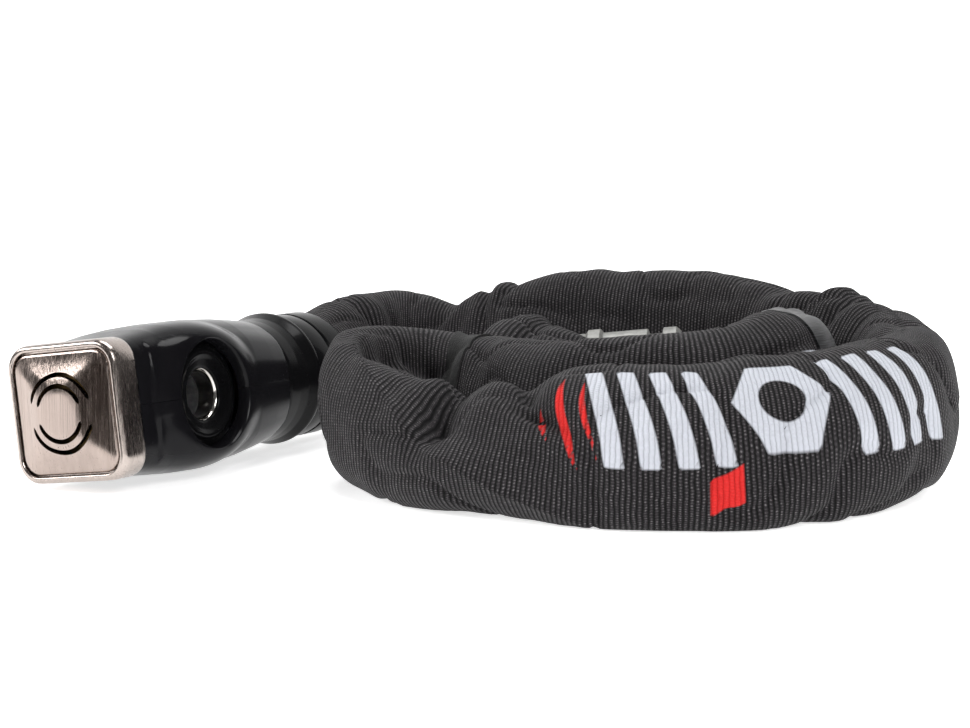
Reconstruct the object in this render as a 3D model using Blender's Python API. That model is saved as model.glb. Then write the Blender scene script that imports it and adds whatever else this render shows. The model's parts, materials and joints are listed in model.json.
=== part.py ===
"""Chain lock: an alarm lock head on one end of a link chain in a woven sleeve.

Run it with blender --background --python part.py, or from Blender's text editor.
All lengths in this file are millimetres; make() writes the meshes in metres.
The world frame has +Z up and stands the lock on z = 0. The lock head has its own
frame: x runs from the speaker end to the chain, with x = 0 on the anchor pin,
y points away from the bolt socket and z up, with z = 0 on the head's axis.
"""

import math

import bmesh
import bpy
from mathutils import Matrix, Vector

MM = 0.001

# Moves the whole lock so that the world's origin is under the middle of its outline.
CENTRING = Vector((3.18, -12.99, 0.0))

# Where the head lies, before centring. Its bolt socket side is rolled up a little, so it rests
# on one edge of its foot.
HEAD_PIN = Vector((-75.0, 59.6, 23.91))
HEAD_TURN = math.radians(61.8)
HEAD_ROLL = math.radians(-7.0)

# Head stations along x.
FACE_X = -108.0
BEZEL_BACK_X = -98.2
SHELL_FRONT_X = -98.0
SHELL_BACK_X = -22.3
COLLAR_END_X = 16.0
BOLT_X = -67.4
BATTERY_X = -36.4
CORE_FRONT_X = BOLT_X - 14.0
SCREW_X = (BOLT_X - 9.0, BOLT_X + 9.0)
BOARD_BACK_X = -91.7

# Shell.
WALL = 2.2
PARTING_GAP = 0.15
FOOT_Z = -22.8

# Gap between a bore and what turns or sits in it.
FIT_GAP = 0.3

# Station x, half width, and squareness of the shell's outside.
SHELL_STATIONS = (
    (SHELL_FRONT_X, 20.3, 4.6),
    (-93.6, 20.8, 4.4),
    (-93.2, 21.4, 4.3),
    (-84.6, 22.2, 3.9),
    (-75.8, 23.0, 3.5),
    (-66.7, 23.4, 3.2),
    (-55.0, 23.4, 3.0),
    (-42.0, 22.8, 2.7),
    (-31.0, 21.8, 2.45),
    (SHELL_BACK_X, 20.8, 2.3),
)
SHELL_SIDES = 32

# Bezel and speaker plate.
BEZEL_HALF = 20.75
BEZEL_CORNER = 7.5
PLATE_HALF = 18.1
PLATE_CORNER = 5.6
PLATE_SET_BACK = 0.3
PLATE_THICK = 1.3
PLATE_DOME = 3.0
SLOT_RADII = (8.3, 11.5)
SLOT_WIDTH = 1.2
SLOT_SPAN = math.radians(73)
SLOT_STEPS = 12

# Bolt socket, on the -y side, and key boss, on the +y side.
LIP_Y = 25.0
RECESS_R = 16.6
RECESS_FLOOR_Y = 20.0
BORE_R = 7.3
BUSHING_R = 9.3
KEY_R = 7.0

# Latch, cam and arming plunger inside the lock core.
LATCH_R = 2.9
LATCH_Y = -4.0
LATCH_TRAVEL = 3.0
CAM_BASE_R = 6.3
PLUNGER_R = 1.3
PLUNGER_HEAD_R = 2.4
PLUNGER_Y = -5.0

# Chain.
WIRE_R = 3.1
LINK_BEND_R = 8.5
LINK_STRAIGHT = 17.7
LINK_FORWARD = 1.2
LINK_COUNT = 29
LAST_LINK_TILT = math.radians(14)
FLAT_SPAN = LINK_STRAIGHT + 2 * LINK_FORWARD
PIN_R = 3.0
PIN_LENGTH = 36.0

# Sleeve.
SLEEVE_WALL = 0.8
SLEEVE_SIDES = 14
SLEEVE_POWER = 2.8
SLEEVE_RINGS = 84

# Locking bolt on the free end.
BOLT_R = 6.6
BOLT_SHOULDER_R = 7.9
EAR_THICK = 2.4
EAR_HALF = 5.0
BOLT_HEADING = math.radians(-10)

# The chain's route over the floor, from the anchor pin to the free end. Each row is
# x, y and z of the chain, then the lowest and highest z of the sleeve round it, half
# the sleeve's thickness, and how far the sleeve's top leans to the right of its travel.
ROUTE = (
    (-75.0, 59.6, 23.91, 4.2, 43.6, 19.7, 0.0),
    (-67.4, 73.7, 23.7, 4.0, 43.5, 19.7, 0.0),
    (-58.6, 87.2, 22.9, 2.0, 46.5, 19.0, 0.0),
    (-46.0, 99.0, 20.6, 0.6, 49.0, 17.0, 0.0),
    (-28.0, 103.0, 18.0, 0.6, 50.0, 15.5, 0.0),
    (-6.0, 96.0, 17.0, 0.6, 47.0, 14.8, 0.0),
    (18.0, 83.0, 16.0, 0.6, 54.0, 14.6, 0.0),
    (46.0, 71.0, 16.0, 0.6, 60.0, 14.6, 0.0),
    (78.0, 58.0, 16.0, 0.6, 60.0, 14.8, 0.0),
    (105.0, 36.0, 15.0, 0.6, 56.0, 15.4, 0.0),
    (120.4, 6.0, 14.6, 0.6, 51.0, 15.4, 0.0),
    (122.6, -24.0, 14.4, 0.6, 48.0, 15.4, 0.0),
    (109.5, -51.5, 14.4, 0.6, 47.0, 15.4, 0.0),
    (83.0, -70.5, 14.4, 0.6, 45.0, 15.0, 1.5),
    (50.0, -76.5, 14.4, 0.6, 42.0, 15.0, 3.0),
    (17.0, -70.5, 14.4, 0.6, 41.0, 15.4, 2.0),
    (-15.0, -55.0, 14.4, 0.6, 43.0, 16.4, 0.0),
    (-32.5, -38.0, 14.4, 0.6, 46.0, 16.6, 0.0),
    (-39.0, -20.0, 14.4, 0.6, 48.0, 16.8, 0.0),
    (-34.0, -4.5, 14.2, 0.5, 47.5, 17.8, 0.0),
    (-19.5, 2.5, 14.2, 0.5, 45.0, 18.3, 0.0),
    (-5.0, -4.0, 14.4, 0.6, 43.0, 16.4, 0.0),
    (7.5, -17.0, 14.4, 0.6, 43.5, 15.8, 0.0),
    (20.0, -31.0, 14.4, 0.6, 45.5, 15.2, 0.0),
    (38.0, -42.0, 14.4, 0.6, 45.4, 14.8, 0.0),
    (61.0, -44.0, 14.4, 0.6, 46.0, 15.4, 0.0),
    (81.0, -34.0, 14.4, 0.6, 52.0, 16.0, 0.0),
    (90.5, -14.0, 14.8, 0.6, 54.0, 16.4, 0.0),
    (85.0, 5.5, 16.5, 0.6, 46.0, 16.6, 0.0),
    (68.0, 15.0, 18.8, 0.6, 36.0, 16.4, 0.0),
    (46.0, 15.0, 20.5, 1.5, 36.5, 16.2, 0.0),
    (28.5, 16.0, 23.5, 5.0, 41.0, 15.6, 0.0),
    (15.0, 20.5, 27.0, 9.5, 46.0, 15.4, 0.0),
    (8.0, 32.0, 27.0, 13.0, 49.0, 15.6, 0.0),
    (12.0, 44.5, 27.0, 16.0, 50.0, 15.6, 0.0),
    (23.0, 52.0, 27.0, 17.0, 50.0, 15.2, 0.0),
    (36.0, 54.5, 27.0, 18.0, 50.0, 15.0, 0.0),
)
SLEEVE_START = 24.0
SLEEVE_END_GAP = 6.5


def clear_scene():
    """Removes every object that the file starts with."""
    for obj in list(bpy.data.objects):
        bpy.data.objects.remove(obj)


def material(name, colour, roughness, metallic=0.0):
    """A Principled BSDF material."""
    found = bpy.data.materials.get(name)
    if found:
        return found
    made = bpy.data.materials.new(name)
    made.use_nodes = True
    shader = made.node_tree.nodes["Principled BSDF"]
    shader.inputs["Base Color"].default_value = (*colour, 1.0)
    shader.inputs["Roughness"].default_value = roughness
    shader.inputs["Metallic"].default_value = metallic
    return made


def nickel():
    return material("brushed_nickel", (0.62, 0.57, 0.53), 0.3, 1.0)


def housing_plastic():
    return material("housing_plastic", (0.02, 0.02, 0.025), 0.3)


def rubber():
    return material("black_rubber", (0.025, 0.025, 0.027), 0.6)


def zinc():
    return material("die_cast_zinc", (0.45, 0.45, 0.46), 0.45, 1.0)


def steel():
    return material("hardened_steel", (0.55, 0.55, 0.54), 0.35, 1.0)


def chrome():
    return material("chrome", (0.75, 0.75, 0.75), 0.12, 1.0)


def brass():
    return material("brass", (0.72, 0.53, 0.25), 0.3, 1.0)


def board_green():
    return material("circuit_board", (0.03, 0.2, 0.08), 0.5)


def cell_wrap():
    return material("cell_wrap", (0.06, 0.1, 0.35), 0.4)


def weave():
    return material("woven_nylon", (0.03, 0.028, 0.03), 0.85)


def make(name, bm, mat, parent=None, location=(0, 0, 0), smooth=True):
    """Turns a bmesh in millimetres into a named object in metres."""
    bmesh.ops.remove_doubles(bm, verts=bm.verts, dist=1e-5)
    bmesh.ops.recalc_face_normals(bm, faces=bm.faces)
    bm.transform(Matrix.Scale(MM, 4))
    mesh = bpy.data.meshes.new(name)
    bm.to_mesh(mesh)
    bm.free()
    if smooth:
        mesh.shade_smooth()
        mesh.set_sharp_from_angle(angle=math.radians(35))
    mesh.materials.append(mat)
    obj = bpy.data.objects.new(name, mesh)
    bpy.context.scene.collection.objects.link(obj)
    obj.parent = parent
    obj.location = Vector(location) * MM
    return obj


def empty(name, location, parent=None, roll=0.0, turn=0.0):
    """An empty on a joint's axis, for the pieces that move with it."""
    obj = bpy.data.objects.new(name, None)
    bpy.context.scene.collection.objects.link(obj)
    obj.parent = parent
    obj.location = Vector(location) * MM
    obj.rotation_euler = (roll, 0, turn)
    return obj


def skin(rings, closed=False):
    """A closed bmesh through rings of points: capped at both ends, or joined end to end."""
    bm = bmesh.new()
    rows = [[bm.verts.new(p) for p in ring] for ring in rings]
    count = len(rows[0])
    pairs = list(zip(rows, rows[1:]))
    if closed:
        pairs.append((rows[-1], rows[0]))
    for low, high in pairs:
        for i in range(count):
            j = (i + 1) % count
            bm.faces.new((low[i], low[j], high[j], high[i]))
    if not closed:
        bm.faces.new(rows[0][::-1])
        bm.faces.new(rows[-1])
    return bm


def turned(profile, segments=24, axis="X"):
    """Spins (along, radius) points about an axis. A first or last radius of 0 closes that end."""
    bm = bmesh.new()
    rows = []
    for along, radius in profile:
        steps = segments if radius > 0 else 1
        row = []
        for i in range(steps):
            angle = 2 * math.pi * i / segments
            across = (radius * math.cos(angle), radius * math.sin(angle))
            place = {
                "X": (along, *across),
                "Y": (across[1], along, across[0]),
                "Z": (*across, along),
            }[axis]
            row.append(bm.verts.new(place))
        rows.append(row)
    solid = len(rows[0]) == 1 and len(rows[-1]) == 1
    pairs = list(zip(rows, rows[1:]))
    if not solid:
        pairs.append((rows[-1], rows[0]))
    for low, high in pairs:
        for i in range(segments):
            j = (i + 1) % segments
            if len(low) == 1:
                bm.faces.new((low[0], high[j], high[i]))
            elif len(high) == 1:
                bm.faces.new((low[i], low[j], high[0]))
            else:
                bm.faces.new((low[i], low[j], high[j], high[i]))
    return bm


def rod(start, end, radius, axis, segments=20):
    """A solid cylinder from start to end along an axis."""
    return turned(((start, 0), (start, radius), (end, radius), (end, 0)), segments, axis)


def block(low, high):
    """A box between two corners."""
    bm = bmesh.new()
    size = Vector(high) - Vector(low)
    place = Matrix.Translation((Vector(low) + Vector(high)) / 2)
    bmesh.ops.create_cube(bm, size=1.0, matrix=place @ Matrix.Diagonal((*size, 1.0)))
    return bm


def moved(bm, offset):
    """The bmesh, shifted."""
    bm.transform(Matrix.Translation(Vector(offset)))
    return bm


def boolean(obj, bm, operation="DIFFERENCE"):
    """Cuts a bmesh in millimetres, in obj's own frame, out of obj, or joins it on."""
    bmesh.ops.recalc_face_normals(bm, faces=bm.faces)
    bm.transform(Matrix.Scale(MM, 4))
    mesh = bpy.data.meshes.new(obj.name + "_tool")
    bm.to_mesh(mesh)
    bm.free()
    tool = bpy.data.objects.new(mesh.name, mesh)
    bpy.context.scene.collection.objects.link(tool)
    tool.parent = obj
    tool.hide_render = True
    tool.display_type = "WIRE"
    modifier = obj.modifiers.new(operation.lower(), "BOOLEAN")
    modifier.operation = operation
    modifier.solver = "EXACT"
    modifier.object = tool
    return tool


def rounded_square(x, half, corner, corner_steps=5):
    """A ring of points: a square of half width half with round corners, at station x."""
    ring = []
    for quarter in range(4):
        middle = math.pi / 4 + quarter * math.pi / 2
        centre_y = math.copysign(half - corner, math.cos(middle))
        centre_z = math.copysign(half - corner, math.sin(middle))
        for step in range(corner_steps + 1):
            angle = (quarter + step / corner_steps) * math.pi / 2
            ring.append(
                (x, centre_y + corner * math.cos(angle), centre_z + corner * math.sin(angle))
            )
    return ring


def superellipse(angle, half_across, half_up, power):
    """(across, up) of a superellipse at an angle."""
    c, s = math.cos(angle), math.sin(angle)
    return (
        math.copysign(abs(c) ** (2 / power) * half_across, c),
        math.copysign(abs(s) ** (2 / power) * half_up, s),
    )


# ---------------------------------------------------------------- lock head

def shell_rings(inset):
    """Rings of the shell's outside, or of its inside when inset is the wall."""
    rings = []
    for x, half, power in SHELL_STATIONS:
        ring = []
        for i in range(SHELL_SIDES):
            angle = 2 * math.pi * (i + 0.5) / SHELL_SIDES
            y, z = superellipse(angle, half - inset, half - inset, power)
            ring.append((x, y, max(z, FOOT_Z + inset)))
        rings.append(ring)
    if inset:
        rings[0] = [(x - 1.0, y, z) for x, y, z in rings[0]]
        rings[-1] = [(x + 1.0, y, z) for x, y, z in rings[-1]]
    return rings


def half_shell(name, side, head):
    """The upper (side 1) or lower (side -1) moulded half, with its half of both bosses."""
    obj = make(name, skin(shell_rings(0.0)), housing_plastic(), head)
    lip = ((-16.0, 22.5), (-22.0, 21.0), (-24.2, 19.2), (-LIP_Y, 18.0), (-LIP_Y, 0), (-16.0, 0))
    key_lip = ((16.0, 18.0), (22.0, 17.0), (24.0, 15.6), (LIP_Y, 14.5), (LIP_Y, 0), (16.0, 0))
    for points in (lip, key_lip):
        profile = (points[-1], *points[:-1])
        boolean(obj, moved(turned(profile, 32, "Y"), (BOLT_X, 0, 0)), "UNION")
    boolean(obj, skin(shell_rings(WALL)))
    other_half = -side * 40.0
    low, high = sorted((other_half, side * PARTING_GAP / 2))
    boolean(obj, block((-120, -60, low), (20, 60, high)))
    if side < 0:
        for x in SCREW_X:
            hole = ((-24.0, 0), (-24.0, 3.1), (-21.3, 3.1), (-21.3, 1.8), (-15.0, 1.8), (-15.0, 0))
            boolean(obj, moved(turned(hole, 16, "Z"), (x, 0, 0)))
    recess = (
        (-LIP_Y - 1, 0), (-LIP_Y - 1, RECESS_R + 0.6), (-LIP_Y + 0.6, RECESS_R),
        (-RECESS_FLOOR_Y, RECESS_R), (-RECESS_FLOOR_Y, BUSHING_R + FIT_GAP),
        (-14.0, BUSHING_R + FIT_GAP), (-14.0, 0),
    )
    key_bore = ((14.0, 0), (14.0, 10.1), (23.2, 10.1), (23.2, 11.6), (LIP_Y + 1, 11.6), (LIP_Y + 1, 0))
    for points in (recess, key_bore):
        boolean(obj, moved(turned(points, 36, "Y"), (BOLT_X, 0, 0)))
    return obj


def shell_screws(head):
    """Two screws up through the lower half into the lock core."""
    for name, x in zip(("shell_screw_front", "shell_screw_rear"), SCREW_X):
        profile = ((-22.6, 0), (-22.6, 2.7), (-21.6, 2.7), (-21.6, 1.4), (-11.0, 1.4), (-10.2, 0.7),
                   (-10.2, 0))
        obj = make(name, turned(profile, 16, "Z"), steel(), head, (x, 0, 0))
        boolean(obj, block((-0.4, -1.8, -23.6), (0.4, 1.8, -22.1)))


def front_bezel(head):
    """The square metal frame round the speaker plate."""
    x = FACE_X
    profile = (
        (x, 19.7, 6.9),
        (x + 0.7, 20.4, 7.3),
        (x + 2.2, BEZEL_HALF, BEZEL_CORNER),
        (BEZEL_BACK_X, BEZEL_HALF, BEZEL_CORNER),
        (BEZEL_BACK_X, 18.0, 5.0),
        (x + 4.6, 18.0, 5.0),
        (x + 4.6, 15.6, 4.0),
        (x + 2.6, 15.6, 4.0),
        (x + 2.6, 18.6, 6.0),
        (x, 18.6, 6.0),
    )
    rings = [rounded_square(*row) for row in profile]
    make("front_bezel", skin(rings, closed=True), nickel(), head)


def arc_slot(radius, middle):
    """A cutter for one round slot of the speaker plate."""
    rings = []
    for i in range(SLOT_STEPS + 1):
        angle = middle + SLOT_SPAN * (2 * i / SLOT_STEPS - 1)
        ring = []
        for x, r in ((-6, -1), (-6, 1), (6, 1), (6, -1)):
            reach = radius + r * SLOT_WIDTH / 2
            ring.append((FACE_X + x, reach * math.cos(angle), reach * math.sin(angle)))
        rings.append(ring)
    return skin(rings)


def speaker_plate(head):
    """The crowned plate over the siren, with two pairs of arc slots."""
    front, back = [], []
    for share in (1.0, 0.97, 0.8, 0.6, 0.4, 0.2, 0.04):
        crown = PLATE_DOME * (1 - share**2) ** 1.2 if share < 0.99 else -0.25
        half = PLATE_HALF * share
        corner = PLATE_CORNER * share
        face_x = FACE_X + PLATE_SET_BACK
        front.append(rounded_square(face_x - crown, half, corner, 4))
        back.append(rounded_square(face_x + PLATE_THICK - 0.9 * max(crown, 0.0), half, corner, 4))
    obj = make("speaker_plate", skin(back[::-1] + front), nickel(), head)
    for radius in SLOT_RADII:
        for middle in (math.pi / 2, -math.pi / 2):
            boolean(obj, arc_slot(radius, middle))


def siren_and_board(head):
    """The piezo siren, its circuit board and the shock sensor."""
    x = FACE_X
    siren = ((x + 5.2, 0), (x + 5.2, 4.0), (x + 5.8, 4.0), (x + 5.8, 13.0), (x + 10.0, 13.0),
             (x + 10.8, 12.2), (x + 10.8, 0))
    make("piezo_siren", turned(siren, 24, "X"), brass(), head)
    board = [rounded_square(x, 14.6, 3.0, 3) for x in (BOARD_BACK_X - 1.9, BOARD_BACK_X - 0.3)]
    make("alarm_board", skin(board), board_green(), head)
    x = BOARD_BACK_X
    sensor = ((x, 0), (x, 3.6), (x + 6.0, 3.6), (x + 6.6, 3.0), (x + 6.6, 0))
    make("shock_sensor", moved(turned(sensor, 16, "X"), (0, 7.0, 5.0)), steel(), head)
    make("arming_switch", block((x, -8.0, -3.0), (x + 4.4, -2.0, 3.0)), rubber(), head)


def lock_core(head):
    """The die-cast block that holds the bolt, the latch and the key plug."""
    obj = make("lock_core", block((CORE_FRONT_X, -17.4, -14.0), (BOLT_X + 14.0, 17.4, 10.4)), zinc(), head)
    bores = (
        (-18.0, 0), (-18.0, BUSHING_R + FIT_GAP), (-11.8, BUSHING_R + FIT_GAP), (-11.8, BORE_R),
        (5.2, BORE_R),
        (5.2, KEY_R + FIT_GAP), (12.0, KEY_R + FIT_GAP), (12.0, 10.1), (18.0, 10.1), (18.0, 0),
    )
    boolean(obj, moved(turned(bores, 24, "Y"), (BOLT_X, 0, 0)))
    boolean(obj, block((BOLT_X - 10.6, 6.4, -9.9), (BOLT_X + 10.6, 9.8, 11.0)))
    boolean(obj, moved(rod(2.0, 11.0, LATCH_R + FIT_GAP, "Z", 16), (BOLT_X, LATCH_Y, 0)))
    for x in SCREW_X:
        boolean(obj, moved(rod(-15.0, -9.8, 1.8, "Z", 12), (x, 0, 0)))
    plunger_bore = rod(CORE_FRONT_X - 1.0, BOLT_X - 5.0, PLUNGER_R + FIT_GAP, "X", 12)
    boolean(obj, moved(plunger_bore, (0, PLUNGER_Y, 0)))
    head_bore = rod(CORE_FRONT_X - 1.0, CORE_FRONT_X + 2.3, PLUNGER_HEAD_R + FIT_GAP, "X", 12)
    boolean(obj, moved(head_bore, (0, PLUNGER_Y, 0)))


def latch(head):
    """The sprung latch: a pin that drops into the bolt's groove, and its cam follower."""
    holder = empty("latch_slide_axis", (BOLT_X, LATCH_Y, 0), head)
    pin = ((5.0, 0), (5.0, 2.0), (5.9, LATCH_R), (11.4, LATCH_R), (11.4, 0))
    obj = make("latch", turned(pin, 16, "Z"), steel(), holder)
    boolean(obj, block((-2.6, -2.6, 10.8), (2.6, 13.4, 12.9)), "UNION")
    boolean(obj, block((-0.7, 11.0, CAM_BASE_R + 0.6), (0.7, 12.9, 11.6)), "UNION")


def latch_spring(head):
    """The coil spring that pushes the latch down."""
    turns, steps, wire, radius = 2.5, 14, 0.35, 2.1
    low, high = 13.5, 17.8
    rings = []
    count = int(turns * steps)
    for i in range(count + 1):
        angle = 2 * math.pi * i / steps
        z = low + (high - low) * i / count
        out = Vector((math.cos(angle), math.sin(angle), 0))
        middle = out * radius + Vector((0, 0, z))
        rings.append(
            [middle + wire * (out * math.cos(a) + Vector((0, 0, math.sin(a))))
             for a in (math.pi * k / 3 for k in range(6))]
        )
    make("latch_spring", skin(rings), steel(), head, (BOLT_X, LATCH_Y, 0))
    make("latch_cover", block((BOLT_X - 7.0, -8.5, 18.3), (BOLT_X + 7.0, 3.0, 19.8)), steel(), head)


def key_plug(head):
    """The key plug, with its keyway and the spiral cam that lifts the latch."""
    axis = empty("key_turn_axis", (BOLT_X, 0, 0), head)
    plug = ((5.6, 0), (5.6, 3.0), (10.2, 3.0), (10.2, KEY_R), (22.6, KEY_R), (23.0, KEY_R - 0.4), (23.0, 0))
    obj = make("key_plug", turned(plug, 24, "Y"), chrome(), axis)
    boolean(obj, block((-1.0, 12.0, -4.2), (1.0, 24.0, 4.2)))
    ring_low, ring_high = [], []
    steps = 30
    for i in range(steps):
        angle = 2 * math.pi * i / steps
        # The angle of this point from straight up, against the way the key turns.
        back = (angle - math.pi / 2) % (2 * math.pi)
        lift = LATCH_TRAVEL * min(back / (math.pi / 2), 1.0) if back < math.pi else 0.0
        radius = CAM_BASE_R + lift
        ring_low.append((radius * math.cos(angle), 6.9, radius * math.sin(angle)))
        ring_high.append((radius * math.cos(angle), 9.3, radius * math.sin(angle)))
    boolean(obj, skin([ring_low, ring_high]), "UNION")
    collar = ((18.0, KEY_R + FIT_GAP), (18.0, 9.7), (23.4, 9.7), (23.4, KEY_R + FIT_GAP))
    make("key_collar", moved(turned(collar, 24, "Y"), (BOLT_X, 0, 0)), chrome(), head)


def socket_parts(head):
    """The steel bushing of the bolt's bore and the ring round it."""
    bushing = ((-21.4, BORE_R + FIT_GAP), (-21.6, BORE_R + 0.9), (-21.4, BUSHING_R), (-12.2, BUSHING_R),
               (-12.2, BORE_R))
    make("bolt_bushing", moved(turned(bushing, 32, "Y"), (BOLT_X, 0, 0)), chrome(), head)
    ring = ((-22.6, 10.4), (-22.9, 11.4), (-22.9, 12.6), (-22.4, 13.2), (-20.3, 13.2), (-20.3, 9.7),
            (-21.8, 9.7))
    make("socket_ring", moved(turned(ring, 32, "Y"), (BOLT_X, 0, 0)), rubber(), head)


def arming_plunger(head):
    """The little plunger in the side of the bore that the bolt pushes back to arm the alarm."""
    axis = empty("plunger_axis", (CORE_FRONT_X, PLUNGER_Y, 0), head)
    plunger = ((-3.6, 0), (-3.6, PLUNGER_HEAD_R), (2.0, PLUNGER_HEAD_R), (2.0, PLUNGER_R), (7.0, PLUNGER_R),
               (7.8, 0.6), (7.8, 0))
    make("arming_plunger", turned(plunger, 12, "X"), steel(), axis)


def battery_parts(head):
    """The cell that powers the alarm, its cradle and its two contacts."""
    cell = ((-13.2, 0), (-13.2, 7.4), (-12.8, 7.8), (12.2, 7.8), (12.6, 7.4), (12.6, 3.0),
            (13.3, 3.0), (13.3, 0))
    make("battery", turned(cell, 24, "Y"), cell_wrap(), head, (BATTERY_X, 0, 0))
    rings = []
    steps = 10
    for y in (-12.6, 12.0):
        inner, outer = [], []
        for i in range(steps + 1):
            angle = math.pi + math.pi * i / steps
            inner.append((8.15 * math.cos(angle), y, 8.15 * math.sin(angle)))
            outer.append((9.6 * math.cos(angle), y, 9.6 * math.sin(angle)))
        rings.append(inner + outer[::-1])
    make("battery_cradle", skin(rings), rubber(), head, (BATTERY_X, 0, 0))
    for name, low, high in (("contact_negative", -14.4, -13.6), ("contact_positive", 13.7, 14.5)):
        make(name, block((-4.0, low, -5.0), (4.0, high, 5.0)), brass(), head, (BATTERY_X, 0, 0))


def upright(bm):
    """The bmesh, turned about the head's axis so that its z is the world's, whatever the head's roll."""
    bm.transform(Matrix.Rotation(-HEAD_ROLL, 4, "X"))
    return bm


def neck_parts(head):
    """The anchor block in the neck, its upright pin, and the two rings that close the neck."""
    anchor = ((-22.0, 0), (-22.0, 17.6), (-18.0, 18.4), (12.0, 18.4), (12.0, 17.0), (-1.0, 14.6),
              (-13.0, 14.6), (-13.0, 0))
    obj = make("chain_anchor", turned(anchor, 28, "X"), zinc(), head)
    boolean(obj, upright(rod(-19.5, 19.5, PIN_R + FIT_GAP, "Z", 16)))
    end = PIN_LENGTH / 2
    bevel = 0.5
    pin = ((-end, 0), (-end, PIN_R - bevel), (bevel - end, PIN_R), (end - bevel, PIN_R),
           (end, PIN_R - bevel), (end, 0))
    make("anchor_pin", upright(turned(pin, 16, "Z")), steel(), head)
    band = ((-21.9, 18.8), (-21.9, 19.6), (-21.2, 20.4), (-12.0, 20.9), (-8.0, 21.9), (-6.4, 22.4),
            (-5.2, 22.3), (-4.7, 21.9), (-4.7, 18.8))
    make("neck_band", turned(band, 36, "X"), housing_plastic(), head)
    rim = ((-4.3, 18.8), (-4.3, 21.2), (5.0, 21.2), (5.3, 20.8), (5.7, 20.8), (6.0, 21.3), (15.4, 21.5),
           (COLLAR_END_X, 21.2), (COLLAR_END_X, 19.9), (8.4, 19.6), (8.4, 18.8))
    make("end_collar", turned(rim, 36, "X"), housing_plastic(), head)


# ---------------------------------------------------------------- chain and sleeve


def curve(points, per_span=16):
    """A smooth Catmull-Rom line through rows of numbers, at even parameter steps."""
    line = []
    last = len(points) - 1
    for i in range(last):
        rows = [points[max(i - 1, 0)], points[i], points[i + 1], points[min(i + 2, last)]]
        for step in range(per_span):
            t = step / per_span
            weights = (
                (-t + 2 * t * t - t**3) / 2,
                (2 - 5 * t * t + 3 * t**3) / 2,
                (t + 4 * t * t - 3 * t**3) / 2,
                (t**3 - t * t) / 2,
            )
            line.append([sum(w * row[k] for w, row in zip(weights, rows)) for k in range(len(rows[0]))])
    line.append(list(points[-1]))
    return line


def distances(line):
    """The distance along the line, in plan and height, of each of its points."""
    along = [0.0]
    for a, b in zip(line, line[1:]):
        along.append(along[-1] + (Vector(b[:3]) - Vector(a[:3])).length)
    return along


def at(line, along, place):
    """The row of the line at a distance along it."""
    place = min(max(place, 0.0), along[-1])
    i = 0
    while i < len(along) - 2 and along[i + 1] < place:
        i += 1
    share = (place - along[i]) / (along[i + 1] - along[i])
    return [a + (b - a) * share for a, b in zip(line[i], line[i + 1])]


def plan_step(line, along, place, span):
    """The distance along the line of the point one straight span ahead, seen from above."""
    here = Vector(at(line, along, place)[:2])
    step = place + span
    for _ in range(16):
        step += span - (Vector(at(line, along, step)[:2]) - here).length
    return step


def chain_frames(line, along):
    """For each link, its two pivots and its slope. Flat links lie level, upright ones climb."""
    crown = LINK_BEND_R - LINK_FORWARD
    upright_span = LINK_STRAIGHT + 2 * LINK_BEND_R
    place = 0.0
    height = line[0][2]
    frames = []
    for i in range(LINK_COUNT):
        slope = 0.0
        ahead = height
        span = FLAT_SPAN
        if i % 2:
            for _ in range(6):
                after = plan_step(line, along, place, upright_span * math.cos(slope))
                ahead = at(line, along, after + FLAT_SPAN / 2)[2]
                slope = math.atan2(ahead - height, upright_span - 2 * crown)
            span = upright_span * math.cos(slope)
        if i == LINK_COUNT - 1:
            slope = LAST_LINK_TILT
            span = FLAT_SPAN * math.cos(slope)
            ahead = height + FLAT_SPAN * math.sin(slope)
        after = plan_step(line, along, place, span)
        start = Vector((*at(line, along, place)[:2], height))
        end = Vector((*at(line, along, after)[:2], ahead))
        frames.append((start, end, slope))
        place = after
        height = ahead
    return frames, place


def link_mesh():
    """A chain link of hexagonal bar, long axis on X, lying in the XY plane."""
    steps = 4
    rings = []
    for end in (1, -1):
        for i in range(steps + 1):
            angle = (-math.pi / 2 + math.pi * i / steps) + (math.pi if end < 0 else 0.0)
            out = Vector((math.cos(angle), math.sin(angle), 0))
            centre = Vector((end * LINK_STRAIGHT / 2, 0, 0))
            ring = []
            for corner in range(6):
                turn = corner * math.pi / 3
                reach = LINK_BEND_R + WIRE_R * math.cos(turn)
                ring.append(centre + out * reach + Vector((0, 0, WIRE_R * math.sin(turn))))
            rings.append(ring)
    return skin(rings, closed=True)


def chain(frames):
    """The links, each a quarter turn from the next, the first one flat on the anchor pin."""
    for i, (start, end, slope) in enumerate(frames):
        flat = end - start
        heading = math.atan2(flat.y, flat.x)
        obj = make(f"chain_link_{i + 1:02d}", link_mesh(), steel(), smooth=False)
        turn = Matrix.Rotation(heading, 4, "Z") @ Matrix.Rotation(-slope, 4, "Y")
        quarter = Matrix.Rotation(math.pi / 2 * (i % 2), 4, "X")
        obj.matrix_world = Matrix.Translation((start + end) / 2 * MM) @ turn @ quarter


def section(row, heading, offset):
    """A ring of points round the sleeve at one row of the route, grown by offset."""
    x, y, _, low, high, half, lean = row
    right = Vector((heading.y, -heading.x, 0)).normalized()
    centre = Vector((x, y, (low + high) / 2))
    half_up = (high - low) / 2 + offset
    ring = []
    for i in range(SLEEVE_SIDES):
        angle = 2 * math.pi * (i + 0.5) / SLEEVE_SIDES
        across, up = superellipse(angle, half + offset, half_up, SLEEVE_POWER)
        ring.append(centre + right * (across + lean * up / half_up) + Vector((0, 0, up)))
    return ring


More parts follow.
